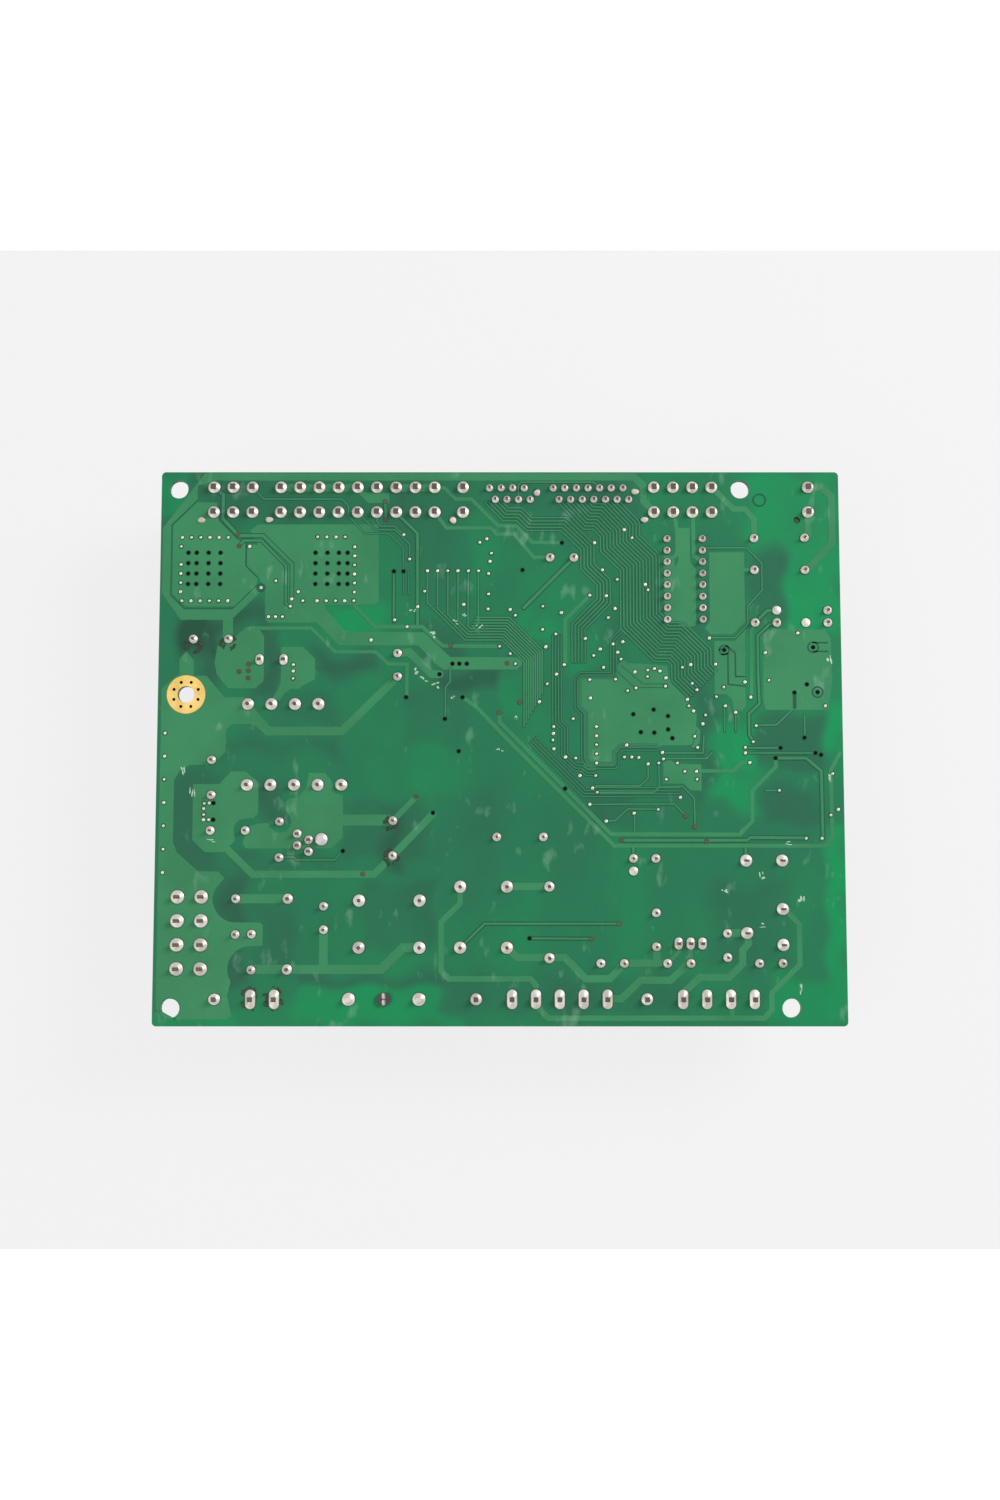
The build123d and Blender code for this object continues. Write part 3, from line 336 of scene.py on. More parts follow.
resist, tree, shader, space = new_material("green_resist")
tone = tree.nodes.new("ShaderNodeAttribute")
tone.attribute_name = "tone"
cloud = noise(tree, space, 62.0, 3.0, (1.0, 0.6, 1.0))
lowered = calculate(tree, "SUBTRACT", tone.outputs["Fac"], 0.28)
cloudy = calculate(tree, "MULTIPLY_ADD", cloud, 0.62, lowered)
greens = [
    (0.0, (0.016, 0.078, 0.042)), (0.3, (0.022, 0.122, 0.066)), (0.6, (0.018, 0.172, 0.078)),
    (1.0, (0.008, 0.262, 0.086)),
]
film(tree, space, ramp(tree, cloudy, greens), 0.30)
film_gloss(tree, shader, space, 2600.0, 0.34, 0.46)
make_piece("resist_board", board_mesh, resist, ["circuit_board"])

# --- Copper tracks and pours under the resist -------------------------------------------------
# Etched copper that stands up under the film, so it looks paler than the bare laminate and
# shows a fine edge. Wide tracks carry the mains and the supply, fine ones the signals. Their
# heights over the board differ by a hair, so that no two faces lie in one plane.
pour_height = 0.045
edge_height = 0.050
track_height = 0.058
hole_edge_height = 0.0645
gap_height = 0.066
land_height = 0.07
hair = 0.0002
edge_slope = 0.06
thin_track = 0.42


def side_points(points, offset, closed=False):
    """The line moved sideways by offset, with its corners kept sharp."""
    moved = []
    count = len(points)
    for index in range(count):
        here = Vector(points[index])
        before = Vector(points[index - 1]) if index or closed else None
        after = Vector(points[(index + 1) % count]) if index < count - 1 or closed else None
        ways = [(b - a).normalized() for a, b in ((before, here), (here, after)) if a and b]
        normals = [Vector((-way.y, way.x)) for way in ways]
        joined = sum(normals, Vector((0, 0))).normalized()
        stretch = offset / max(0.4, joined.dot(normals[0]))
        moved.append(here + joined * stretch)
    return moved


def track_outline(points, half):
    """A track's closed outline with rounded ends."""
    points = [Vector(p) for p in points]
    left_side = side_points(points, half)
    right_side = side_points(points, -half)
    outline = list(left_side)
    for end, way, others in (
        (points[-1], (points[-1] - points[-2]).normalized(), right_side[::-1]),
        (points[0], (points[0] - points[1]).normalized(), []),
    ):
        across = Vector((-way.y, way.x))
        for step in range(1, 5):
            turn = math.pi * step / 5
            outline.append(end + across * half * math.cos(turn) + way * half * math.sin(turn))
        outline += others
    return outline


def band(build, lower, upper):
    """A band of faces between two loops with the same number of points."""
    for index in range(len(lower)):
        after = (index + 1) % len(lower)
        build.faces.new([lower[index], lower[after], upper[after], upper[index]])


def prism(build, outline, inner, low, high):
    """A low plate: its outline at the foot, the inner one on top."""
    foot = [build.verts.new((p[0], p[1], low)) for p in outline]
    crown = [build.verts.new((p[0], p[1], high)) for p in inner]
    band(build, foot, crown)
    flat = [Vector((p[0], p[1], 0)) for p in inner]
    for triangle in tessellate_polygon([flat]):
        build.faces.new([crown[i] for i in triangle])
        build.faces.new([foot[i] for i in triangle[::-1]])


def add_track(build, points, width, height):
    """A track with sloped sides along the points."""
    outline = track_outline(points, width / 2)
    inner = track_outline(points, max(0.04, width / 2 - edge_slope))
    prism(build, outline, inner, solder_face, solder_face + height)


def area(points):
    """The area inside an outline, below zero where it runs clockwise."""
    return sum(a[0] * b[1] - b[0] * a[1] for a, b in zip(points, points[1:] + points[:1])) / 2


def arc(x, y, radius, start, end, steps=8):
    """Points on a round stretch of an outline, angles in degrees."""
    turns = [math.radians(start + (end - start) * step / steps) for step in range(steps + 1)]
    return [(x + radius * math.cos(turn), y + radius * math.sin(turn)) for turn in turns]


def add_pour(build, points, height, openings=()):
    """A copper area with sloped edges and round openings."""
    if area(points) < 0:
        points = points[::-1]
    loops = [points] + [arc(x, y, radius, 360, 0, 40)[:-1] for x, y, radius in openings]
    foot_loops, crown_loops = [], []
    for loop in loops:
        inner = side_points(loop, edge_slope, closed=True)
        foot_loops.append([build.verts.new((p[0], p[1], solder_face)) for p in loop])
        crown_loops.append([build.verts.new((p[0], p[1], solder_face + height)) for p in inner])
        band(build, foot_loops[-1], crown_loops[-1])
    flat = [[Vector((vert.co.x, vert.co.y, 0)) for vert in loop] for loop in crown_loops]
    foot = [vert for loop in foot_loops for vert in loop]
    crown = [vert for loop in crown_loops for vert in loop]
    for triangle in tessellate_polygon(flat):
        build.faces.new([crown[i] for i in triangle])
        build.faces.new([foot[i] for i in triangle[::-1]])


# Each pour's outline, corner by corner.
pours = {
    "earth_pour": [
        (-73.3, 12.3), (-70.2, 15.1), (-69.5, 15.1), (-69.5, 18.8), (-68, 20.4), (-66.4, 18.4),
        (-66.4, 15.1), (-63.6, 15.1), (-59.6, 10.4), (-55, 10.4), (-52.9, 7.6), (-49.7, 4.0),
        (-35, 4.0), (-35, 2.05), (-50.5, 2.05), (-53.2, 4.5), (-58, 4.5), (-59.2, 3.2),
        (-59.2, -1.5), (-60.7, -3.0), (-62.8, -4.3), (-66.8, -4.3), (-69, -5.6), (-70.2, -7.6),
        (-70.2, -21), (-69.4, -23), (-64.8, -27.1), (-60.4, -27.2), (-59, -28.6), (-60.9, -30.8),
        *arc(-56.5, -33, 5.05, 175, 270), (-51.4, -38.05), (-50.7, -38.7), (-50.7, -43),
        *arc(-53.2, -48, 4.95, 98, 200, 7), (-57.4, -50.7), (-58.1, -53.5), (-57.2, -57.6),
        (-58, -58.6), (-68.8, -58.6), (-73.3, -56.2),
    ],
    "output_pour": [
        (-54, 25.9), (-55.2, 25.7), (-58.2, 22.9), (-61.3, 21.6), (-61.9, 18), (-61.4, 15.4),
        (-58.9, 12.3), (-53, 12.3), (-51.2, 13.9), (-51.2, 23.6), (-52.2, 25.1),
    ],
    "top_rail": [
        (-73.6, 47.6), (-73.6, 33.2), (-69.4, 27.3), (-60.2, 27.3), (-60.2, 23.2), (-58.0, 23.2),
        (-58.0, 27.7), (-52.0, 33.5), (-52.9, 34.9), (-58.1, 29.8), (-68.6, 29.8), (-71.65, 32.8),
        (-71.65, 48.2), (-66.2, 53.7), (-66.2, 57.0), (-62, 58.1), (29.0, 58.1), (30.6, 56.4),
        (30.6, 53.2), (33.2, 50.6), (34.2, 51.6), (32.1, 53.8), (32.1, 57.3), (29.6, 59.8),
        (-64.6, 59.8),
    ],
    "middle_pour": [
        (-55.2, 43.9), (-52.2, 43.9), (-47.15, 38.9), (-47.15, 30.8), (-48, 28.5), (-51.1, 28.5),
        (-51.1, 33.3), (-52.4, 36.4), (-55.2, 39.2),
    ],
    "secondary_pour": [
        (-47.5, 21.4), (-42.8, 21.4), (-40.1, 18.8), (-40.1, 14.2), (-42.6, 13), (-43.6, 12.2),
        (-45.3, 12.2), (-46.6, 11.3), (-47.7, 9.6), (-49.3, 10.1), (-48.2, 12), (-47.5, 13.6),
    ],
    "supply_band": [
        (-51, 31), (-51, 27.3), (-50.4, 26.7), (-39.9, 26.7), (-35, 21.7), (-17.8, 21.7),
        (-14, 17.7), (-12.3, 16.4), (3.6, 16.4), (4.7, 17.4), (4.7, 18.3), (3.8, 19.1),
        (-10.8, 19.2), (-16.5, 24.6), (-33.7, 24.7), (-38, 29.8), (-38.3, 31),
    ],
    "fan_chip_pour": [
        (-71.4, 48.2), (-66.2, 53.3), (-61.9, 53.3), (-61.5, 49.3), (-57.6, 45.2), (-55.6, 44.1),
        (-55.6, 39.2), (-53, 36.6), (-53, 35), (-57.8, 30.2), (-68.5, 30.2), (-71.4, 33),
    ],
    "valve_chip_pour": [
        (-52.9, 48.4), (-26.6, 48.4), (-26.4, 31.4), (-27.4, 30.6), (-51.2, 30.6), (-51.2, 33.4),
        (-50, 35.2), (-48.2, 38.4), (-51.9, 42.4), (-54.6, 47),
    ],
    "chip_pour": [
        (17.7, 14.9), (16.8, 14), (16.8, 8.4), (18.1, 7), (18.1, -3), (19.2, -4.5), (24.4, -4.5),
        (25, -3.8), (25, -1.7), (26.1, -0.6), (34, -0.6), (35, -0.1), (41, -0.1), (41.9, -0.7),
        (43.1, 0.5), (43.2, 3.3), (42.3, 4.1), (42.5, 6.7), (40, 10.4), (37.3, 13.2), (36.4, 14.9),
        (36.2, 17.2), (31, 17.7), (27.6, 17.8), (26.7, 18.6), (25.1, 17), (24.8, 14.9),
    ],
    "clock_pour": [
        (35.1, -3.7), (36.5, -3.2), (38, -4), (43.4, -4.2), (43.4, -9.9), (41, -9.8),
        (39.5, -8.4), (35.1, -8.3),
    ],
    "logic_pour": [
        (38.8, 47.6), (41.4, 47.6), (41.4, 40), (42.6, 38.6), (42.6, 26), (41.3, 25.7),
        (39.3, 25.7), (37.7, 27.6), (37.7, 38.6), (38.8, 40),
    ],
    "valve_pour": [
        (45.5, 42.2), (53.2, 42.2), (53.2, 26.8), (50.4, 24.1), (45.6, 24.1), (44.4, 25.5), (45.5, 27),
    ],
    "logic_left_pour": [(35.7, 41.4), (38.0, 41.4), (38.0, 26.4), (37.0, 27), (35.7, 28.6)],
    "sense_pour": [
        (46.4, 22.7), (50.8, 22.7), (53.1, 24.9), (53.1, 8.4), (52.4, 7.4), (50.4, 7.4),
        (50.2, 9.8), (48.9, 11), (46.4, 11),
    ],
    "reset_pour": [
        (57, 22.8), (57.5, 24.6), (59.4, 25.3), (70.4, 25.2), (71.8, 23), (71.9, 14),
        (71, 7.6), (57.4, 7.6), (56.9, 9.5),
    ],
    "primary_pour": [
        (-66.1, -8.4), (-60.5, -8.4), (-58, -5.7), (-54.9, -5.7), (-52.4, -7.7), (-52, -9.8),
        (-52, -14.9), (-53, -15.8), (-55.4, -16), *arc(-54.7, -18.4, 2.55, 110, 200, 4),
        (-56.8, -20.4), (-57.7, -21.5), (-59.3, -23.1), (-63.3, -23.1), (-66.1, -20.5),
    ],
    "switch_pour": [
        (-41.2, -6), (-37.8, -6), (-36.5, -7.4), (-35.6, -10.4), (-33.8, -10.7), (-33.8, -20),
        (-36.2, -22.3), (-54.6, -22.3), (-55.3, -21.2), (-54.7, -19), (-53.7, -17.4), (-52, -16.9),
        (-49.8, -16.8), *arc(-47.3, -16.5, 2.35, 190, 390, 10), (-46.1, -14), (-46.1, -12.2),
        (-45.3, -11.5), (-43.6, -11.3), (-41.8, -9.4),
    ],
    "peg_pour": [(-30.9, 55.2), (-28.8, 53.1), (-24.2, 53.1), (-24.2, 55.4), (-30.5, 55.6)],
}
# Each track: its width, then the points that it turns at.
tracks = [
    (0.79, [(-62.5, 56.6), (-60.5, 55), (-60.5, 49.6), (-57, 45.9), (-51.7, 45.9), (-45.3, 39.6),
            (-45.3, 32)]),
    (0.6, [(-56.9, 43.6), (-55.9, 44.8), (-52, 44.8), (-46.6, 39.2), (-46.6, 31), (-45.6, 30.3)]),
    (0.35, [(-54.1, 56.6), (-51.6, 54), (-34.5, 54), (-33.1, 52.5), (-33.1, 50.3), (-29.5, 46.4),
            (-24.3, 46.4), (-21.1, 43.2), (-21.0, 38)]),
    (0.35, [(-31.1, 51), (-27.2, 47.2), (-22.9, 47.2), (-19.7, 44), (-19.7, 40.7)]),
    (0.35, [(-26.9, 51), (-26.9, 49.2), (-26.3, 48), (-23, 48), (-21, 46.1)]),
    (1.7, [(-46.8, 56.5), (-31.4, 56.5)]),
    (1.7, [(-22.4, 56.5), (-14.6, 56.5)]),
    (0.6, [(-25.1, 53.5), (-24.9, 49.4)]),
    (0.85, [(-14.3, 56.5), (-12.2, 56.5), (-9.7, 54), (-6.3, 54), (-0.5, 48.1), (3.6, 48), (7, 44.4),
            (13.5, 44.3)]),
    (0.85, [(-14.3, 51), (-11.7, 47.6), (-2, 47.6), (-0.9, 46.2), (3, 46.2), (7.3, 41.1), (10.9, 41.1)]),
    (0.7, [(-22.7, 51), (-18, 46.4), (-17.9, 26)]),
    (0.75, [(16.1, 41), (5.2, 30)]),
    (0.9, [(19.5, 32.7), (14.1, 27.3), (14.1, 17.6)]),
    (0.35, [(4.0, 53.9), (4.0, 57), (4.6, 57.8), (20.5, 57.8), (21.7, 56.5)]),
    (1.6, [(67.3, 56.6), (70.3, 56.6), (72.4, 54.5), (72.4, 44.3), (67.2, 38.7), (66.4, 38.3)]),
    (1.5, [(67.2, 51.1), (67.2, 46), (66.4, 45.4)]),
    (1.3, [(46.3, 56.6), (51, 51.8), (53.5, 51.8), (55.4, 49.5), (55.4, 45.3)]),
    (0.9, [(37.9, 51.1), (38.6, 47), (38.6, 41.8), (36.4, 40)]),
    (0.9, [(42.1, 51.1), (42.2, 41.5), (44.1, 40)]),
    (0.8, [(52.6, 38.3), (55.4, 38.3)]),
    (0.3, [(44.1, 43.2), (53.8, 43.2), (57, 39.8), (57, 33.8), (53.8, 30.3), (53.8, 26.4), (51, 23.4),
            (45.5, 23.4)]),
    (0.5, [(-23.1, 38), (-23.1, 27.0)]),
    (0.85, [(-31.7, 30.5), (-27.2, 25.8), (-16.9, 25.8), (-12.5, 21.6), (-0.2, 21.5)]),
    (0.8, [(-54, 25.5), (-41, 25.5), (-35.8, 20.3), (-27, 20.3), (-24.2, 17.6), (-20.2, 17.6),
            (-20.2, 10.6)]),
    (1.8, [(-22.2, 20), (-19.7, 20.2), (-14.8, 15.4), (-13.1, 15.4)]),
    (1.8, [(-22.2, 14.9), (-34.2, 3.0), (-36, 3.0)]),
    (0.3, [(-10.8, 16.8), (-10.8, 13.8), (-11.8, 12.6), (-11.8, 5.8)]),
    (0.9, [(-8, 10.3), (-5, 8.1), (2.6, 0.2), (24.5, -21.7), (69.9, -21.7), (71.3, -20), (71.2, -5.5),
            (73.2, -1.8)]),
    (0.9, [(-0.2, 7), (-0.1, 5), (23.8, -19.2), (51.4, -19.3), (54.2, -16.4), (54.2, -9.9),
            (59.4, -4.7), (59.4, -2.8)]),
    (0.7, [(26.2, -20.5), (53, -20.5), (53.7, -19.9), (65.8, -20)]),
    (0.7, [(28.6, -24.4), (28.6, -21.7)]),
    (0.6, [(52.7, -24.8), (52.7, -21.8)]),
    (0.4, [(28.9, -14.8), (28.9, -19)]),
    (0.35, [(19.9, -9.2), (21, -8.8), (30.2, -8.8), (31.9, -7.1), (31.9, -4.1)]),
    (0.35, [(20.9, -10.2), (33.2, -10.2), (34.3, -9), (34.2, -3.9)]),
    (0.35, [(34.4, -9), (39.3, -8.9), (41.8, -11.5), (41.9, -17.5)]),
    (0.35, [(19.3, -12.8), (37.5, -12.7), (39.9, -15.2)]),
    (0.35, [(22.8, -16.4), (24.7, -16.3), (27.4, -13.8), (34, -13.8)]),
    (0.35, [(35, -1.7), (43.8, -1.7), (44, 2)]),
    (0.35, [(35, -2.9), (44.6, -2.9), (45.8, -1.5)]),
    (0.8, [(43.3, -5.6), (50.2, -5.6), (52, -3.8), (53.8, -3.8)]),
    (0.7, [(59.6, -2.8), (66, -2.8), (69.2, -5.6), (69.3, -20)]),
    (0.5, [(53, -0.6), (60.5, -0.6)]),
    (0.3, [(53, -1.7), (68, -1.7)]),
    (0.3, [(57.1, -9.8), (60.1, -9.8)]),
    (0.6, [(60.1, 26.7), (58.4, 26.2), (55.9, 23.8), (55.9, 15), (56.1, 9), (53.8, 6.8), (53.8, 2.2),
            (54.6, 1)]),
    (0.8, [(55.4, 26.7), (54.5, 24.8), (54.4, 11)]),
    (0.7, [(55.4, 26.7), (58.1, 29.4), (60.1, 29.4)]),
    (0.4, [(63.7, 8.2), (59.7, 4.4), (55.5, 4.3)]),
    (0.4, [(65.8, 6.5), (65.8, 1.8)]),
    (0.35, [(48.5, 8), (48.5, 3)]),
    (0.35, [(50.9, 6.6), (50.9, 3)]),
    (1.6, [(-58.5, -22.5), (-53, -27.8), (-27, -27.8), (-23, -23.8), (-14.4, -14.8)]),
    (2.4, [(-34.5, -16.2), (-24, -16.2)]),
    (1.3, [(-23, -16.3), (-18.3, -11.4)]),
    (0.3, [(-46.4, -24.1), (-44.2, -24.1), (-43.7, -24.7), (-35.4, -24.7), (-33.9, -22.9)]),
    (2.0, [(-56.5, -33), (-45.4, -33)]),
    (2.0, [(-53.1, -48), (-25.4, -48), (-20.7, -43.4), (-17.2, -43.4)]),
    (1.9, [(-37.7, -39.6), (-37.7, -47.5)]),
    (1.25, [(-8.55, -31), (-8.6, -34), (-12.6, -38), (-12.6, -48.3), (-11, -50), (6.5, -50),
            (7.7, -51.5)]),
    (0.55, [(-8.5, -43.4), (-3.3, -38.3), (25.3, -38.3)]),
    (0.5, [(6.4, -41.4), (19.5, -41.5)]),
    (1.6, [(1.5, -43.4), (3.5, -45.5), (13.8, -45.5), (18.2, -50), (23.4, -50), (26.5, -46.7),
            (35.7, -46.7)]),
    (1.6, [(33.4, -46), (33.4, -43.2)]),
    (0.9, [(36, -46.5), (38.2, -44.2)]),
    (1.6, [(1.5, -30.4), (10.5, -30.4)]),
    (1.2, [(7.7, -55.6), (10.2, -58.3), (56.2, -58.3), (57.8, -56.5), (57.8, -53), (63.9, -47),
            (63.9, -38.5), (61, -35.4)]),
    (1.6, [(23.5, -54.2), (25.8, -54.2), (29.9, -50.3), (36.3, -50.3), (39.7, -47.2), (40.7, -46.7)]),
    (1.0, [(40.6, -46), (40.6, -43)]),
    (1.6, [(39.2, -52.8), (42.5, -49.7), (48.8, -49.7), (51.7, -46.8), (51.7, -44), (53, -42.5),
            (52.8, -40.3)]),
    (1.7, [(48.6, -40.3), (52.8, -40.3)]),
    (1.1, [(49.3, -56), (49.3, -58)]),
]
# Buses of fine tracks side by side: count, step, width, and the outermost track's points.
buses = [
    (5, 0.72, 0.38, [(-6.5, 56.5), (0.6, 49.2), (3.6, 49.2), (5.8, 47), (13.3, 47), (17.6, 42.8),
            (17.6, 38.5), (21.1, 35),
                    (21.1, 32), (15.6, 26.4), (15.6, 18)]),
    (13, 0.71, 0.38, [(9.5, 56.7), (18.2, 47.3), (20.3, 47.3), (21.9, 45.6), (21.9, 42.4),
            (26.2, 38.2), (26.2, 25.4),
                     (33.4, 18.2), (36.4, 18.2), (37.2, 17.4), (37.2, 14), (41, 10.2)]),
    (3, 0.6, 0.3, [(26.2, 25.2), (24, 23), (24, 15.8), (17.4, 15.8), (16.2, 14.6), (16.2, 8),
            (17.6, 6.6), (17.6, -3.2),
                   (18.8, -5.1), (24.8, -5.1), (25.6, -4.2), (25.6, -1.9), (26.4, -1.1), (34, -1.1)]),
    (4, 0.66, 0.3, [(6.4, 0.4), (17.8, -11.1), (38.7, -11.2)]),
    (4, 0.62, 0.3, [(11.4, 24), (11.4, 4.5), (12.7, 3.2), (12.7, -2.5), (15.9, -5.6), (17.3, -5.6),
            (18.6, -6.6), (20.6, -6.6)]),
    (2, 1.1, 0.3, [(-21, 38), (-21, 33)]),
]
# The signal fan: nine tracks that gather from a row of holes and run down beside the chip.
for k in range(9):
    start_x = -15.8 + 2.22 * k
    turn_x, turn_y = -7.6 + 0.3 * k, 22.9 + 0.62 * k
    down_x = 5.2 + 0.49 * k
    fan = [(turn_x, turn_y), (0.4 + 0.2 * k, turn_y), (down_x, 18.1 + 0.33 * k), (down_x, 4.0 + 0.9 * k)]
    if k < 6:
        fan = [(start_x, 38.1), (start_x, 31.1 - 1.3 * k)] + fan
    tracks.append((0.34, fan))
socket_row = 53.3


def bus_track(points, offset):
    """One of a bus's tracks, which starts no higher than the sockets' pin row."""
    moved = side_points(points, offset)
    while moved[1].y > socket_row:
        moved.pop(0)
    if moved[0].y > socket_row:
        share = (moved[0].y - socket_row) / (moved[0].y - moved[1].y)
        moved[0] = moved[0].lerp(moved[1], share)
    return moved


def copper_mesh(build):
    earth_openings = [(*earth_hole, 1.95), (left + hole_inset, bottom + hole_inset, 2.2)]
    for index, (name, outline) in enumerate(pours.items()):
        openings = earth_openings if name == "earth_pour" else ()
        add_pour(build, outline, pour_height + 2 * hair * index, openings)
    for index, (width, points) in enumerate(tracks):
        add_track(build, points, max(width, thin_track), track_height + hair * (index % 25))
    for number, (count, step, width, points) in enumerate(buses):
        for index in range(count):
            height = track_height - 5 * hair - hair / 2 * (number * 3 + index % 3)
            add_track(build, bus_track(points, index * step), width, height)


copper_green, tree, shader, space = new_material("copper_under_resist")
clouds = noise(tree, space, 80.0, 4.0)
film(tree, space, two_tone(tree, clouds, (0.038, 0.205, 0.090), (0.047, 0.246, 0.107)), 0.36)
film_gloss(tree, shader, space, 2400.0, 0.36, 0.5)
make_piece("solder_side_copper", copper_mesh, copper_green)

# Gaps etched round tracks and pads inside the pours, and the resist's dark edge round pads.
gaps = [
    (0.22, [(-66.1, 53.8), (-71.65, 48.3), (-71.65, 32.7), (-68.6, 29.7), (-58.2, 29.7), (-52.8, 35.0)]),
    (0.22, [(-55.3, 44.2), (-55.3, 39.3), (-52.8, 36.8)]),
    (0.25, [(24.9, 17), (24.9, 16.5), (29.1, 12.5), (36.4, 12.5)]),
    (0.25, [(26.3, 17.3), (30.9, 13.3), (36.3, 13.3)]),
    (0.45, [(47.6, 20.7), (49.2, 21.6), (51.0, 20.0), (51.0, 14.9), (53, 14.9)]),
    (0.45, [(48.0, 19.7), (49.4, 19.9), (49.4, 13.2), (53, 12.8)]),
    (0.45, [(67.9, 20.4), (71, 20.4)]),
    (0.45, [(67.9, 22.3), (71, 22.3)]),
    (0.9, [(63.7, 11.4), (63.7, 8.2)]),
    (0.25, [(42.4, 3.2), (41.6, 0.2), (40.8, -0.2)]),
]
# Round gaps: middle and outer radius.
gap_width = 0.35
round_gaps = [
    (67.9, 21.3, 1.3), (68.7, 11.5, 1.3), (48.6, 20.7, 1.2), (-52.0, 34.4, 1.0), (56.7, 53.8, 1.5),
]


def ring(build, x, y, inner, outer, low, high, sides=28):
    """A flat ring, closed all round."""
    loops = []
    for radius, z in ((inner, low), (outer, low), (outer, high), (inner, high)):
        loop = []
        for side in range(sides):
            turn = 2 * math.pi * side / sides
            loop.append(build.verts.new((x + radius * math.cos(turn), y + radius * math.sin(turn), z)))
        loops.append(loop)
    for index in range(4):
        band(build, loops[index], loops[(index + 1) % 4])


def gap_mesh(build):
    for width, points in gaps:
        add_track(build, points, width, gap_height)
    for x, y, radius in round_gaps:
        ring(build, x, y, radius - gap_width, radius, solder_face, solder_face + gap_height)


def edge_mesh(build):
    for index, (width, points) in enumerate(tracks):
        if width < 0.8:
            edge = 0.42 if width > 0.4 else 0.26
            height = track_height - 0.0065 - hair * (index % 20)
            add_track(build, points, max(width, thin_track) + edge, height)
    for number, (count, step, width, points) in enumerate(buses):
        for index in range(count):
            height = edge_height + hair * (number * 3 + index % 3)
            add_track(build, bus_track(points, index * step), width + 0.24, height)


gap_green = finish("etched_gap", (0.012, 0.092, 0.052), 0.5, grain=700.0, bump=0.04, specular=0.2)
make_piece("etched_gaps", gap_mesh, gap_green)
make_piece("track_edges", edge_mesh, gap_green)

# --- Solder joints and pin tips -----------------------------------------------------------
# Each pin is dipped in the solder wave, which leaves a satin grey cone on its round land.
# A few joints were soldered again by hand and are larger, with burnt flux round them.
speck = 0.05  # a shell lower than this is no joint
touching = 0.06  # boxes nearer than this are one joint
pad_height = 0.078
pad_edge = 0.16
whole_turn = 6.28
joint_sides = 28


def joint_outlines(node):
    """Each joint's middle and half sizes on the solder face, in millimetres, from the CAD node."""
    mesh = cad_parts[node].data
    parent = list(range(len(mesh.vertices)))

    def root(index):
        while parent[index] != index:
            parent[index] = parent[parent[index]]
            index = parent[index]
        return index

    for edge in mesh.edges:
        first, second = root(edge.vertices[0]), root(edge.vertices[1])
        if first != second:
            parent[first] = second
    shells = {}
    for vertex in mesh.vertices:
        shells.setdefault(root(vertex.index), []).append(vertex.co / mm)
    boxes = []
    for spots in shells.values():
        xs, ys, zs = ([spot[axis] for spot in spots] for axis in range(3))
        if min(zs) > solder_face - speck and max(zs) - min(zs) > speck:
            boxes.append([min(xs), min(ys), max(xs), max(ys), max(zs)])
    boxes.sort()
    merged = []
    for box in boxes:
        for known in merged:
            if all(box[k] < known[k + 2] + touching and known[k] < box[k + 2] + touching for k in (0, 1)):
                lows = [min(known[k], box[k]) for k in (0, 1)]
                known[:] = lows + [max(known[k], box[k]) for k in (2, 3, 4)]
                break
        else:
            merged.append(box)
    return merged


def close_stack(build, loops):
    """Joins loops that lie over each other, and closes the first and the last."""
    for lower, upper in zip(loops, loops[1:]):
        band(build, lower, upper)
    build.faces.new(loops[0][::-1])
    build.faces.new(loops[-1])


def lathe(build, x, y, profile, sides, oval=(1.0, 1.0), lean=(0.0, 0.0), wobble=0.0, seed=0):
    """A closed turned shape from (radius, height) steps; it may be oval, lean and be uneven."""
    waves = random.Random(seed)
    phase, second = waves.uniform(0, whole_turn), waves.uniform(0, whole_turn)
    loops = []
    base = profile[0][1]
    for radius, z in profile:
        loop = []
        for side in range(sides):
            turn = 2 * math.pi * side / sides
            uneven = 1 + wobble * (math.sin(2 * turn + phase) + 0.6 * math.sin(3 * turn + second))
            dx = radius * uneven * math.cos(turn) * oval[0] + lean[0] * (z - base)
            dy = radius * uneven * math.sin(turn) * oval[1] + lean[1] * (z - base)
            loop.append(build.verts.new((x + dx, y + dy, z)))
        loops.append(loop)
    close_stack(build, loops)


# Each joint: its middle, its half sizes and its height.
joint_places = []
for x0, y0, x1, y1, crown in joint_outlines("solder_joints"):
    joint_middle = ((x0 + x1) / 2, (y0 + y1) / 2)
    joint_half = ((x1 - x0) / 2, (y1 - y0) / 2)
    joint_places.append((joint_middle, joint_half, crown - solder_face))


def joint_loop(build, place, half, share, z, shift, waves):
    """A ring of points round a joint: round, or long with round ends."""
    size = min(half)
    loop = []
    for side in range(joint_sides):
        turn = 2 * math.pi * side / joint_sides
        uneven = 1 + waves[0] * math.sin(2 * turn + waves[1])
        uneven += waves[0] * 0.6 * math.sin(3 * turn + waves[2])
        dx, dy = math.cos(turn) * size * share * uneven, math.sin(turn) * size * share * uneven
        dx += math.copysign((half[0] - size) * min(1, share + 0.1), dx)
        dy += math.copysign((half[1] - size) * min(1, share + 0.1), dy)
        loop.append(build.verts.new((place[0] + dx + shift[0], place[1] + dy + shift[1], z)))
    return loop


def joint_stack(build, place, half, steps, lean, waves):
    """A closed joint from (share of its width, height) steps."""
    loops = []
    base = steps[0][1]
    for share, z in steps:
        shift = (lean[0] * (z - base), lean[1] * (z - base))
        loops.append(joint_loop(build, place, half, share, z, shift, waves))
    close_stack(build, loops)


# The cone's width as a share of the land, and how far up its height that is.
cone_steps = [(0.93, 0.12), (0.83, 0.22), (0.70, 0.32), (0.57, 0.42), (0.47, 0.54), (0.40, 0.62)]


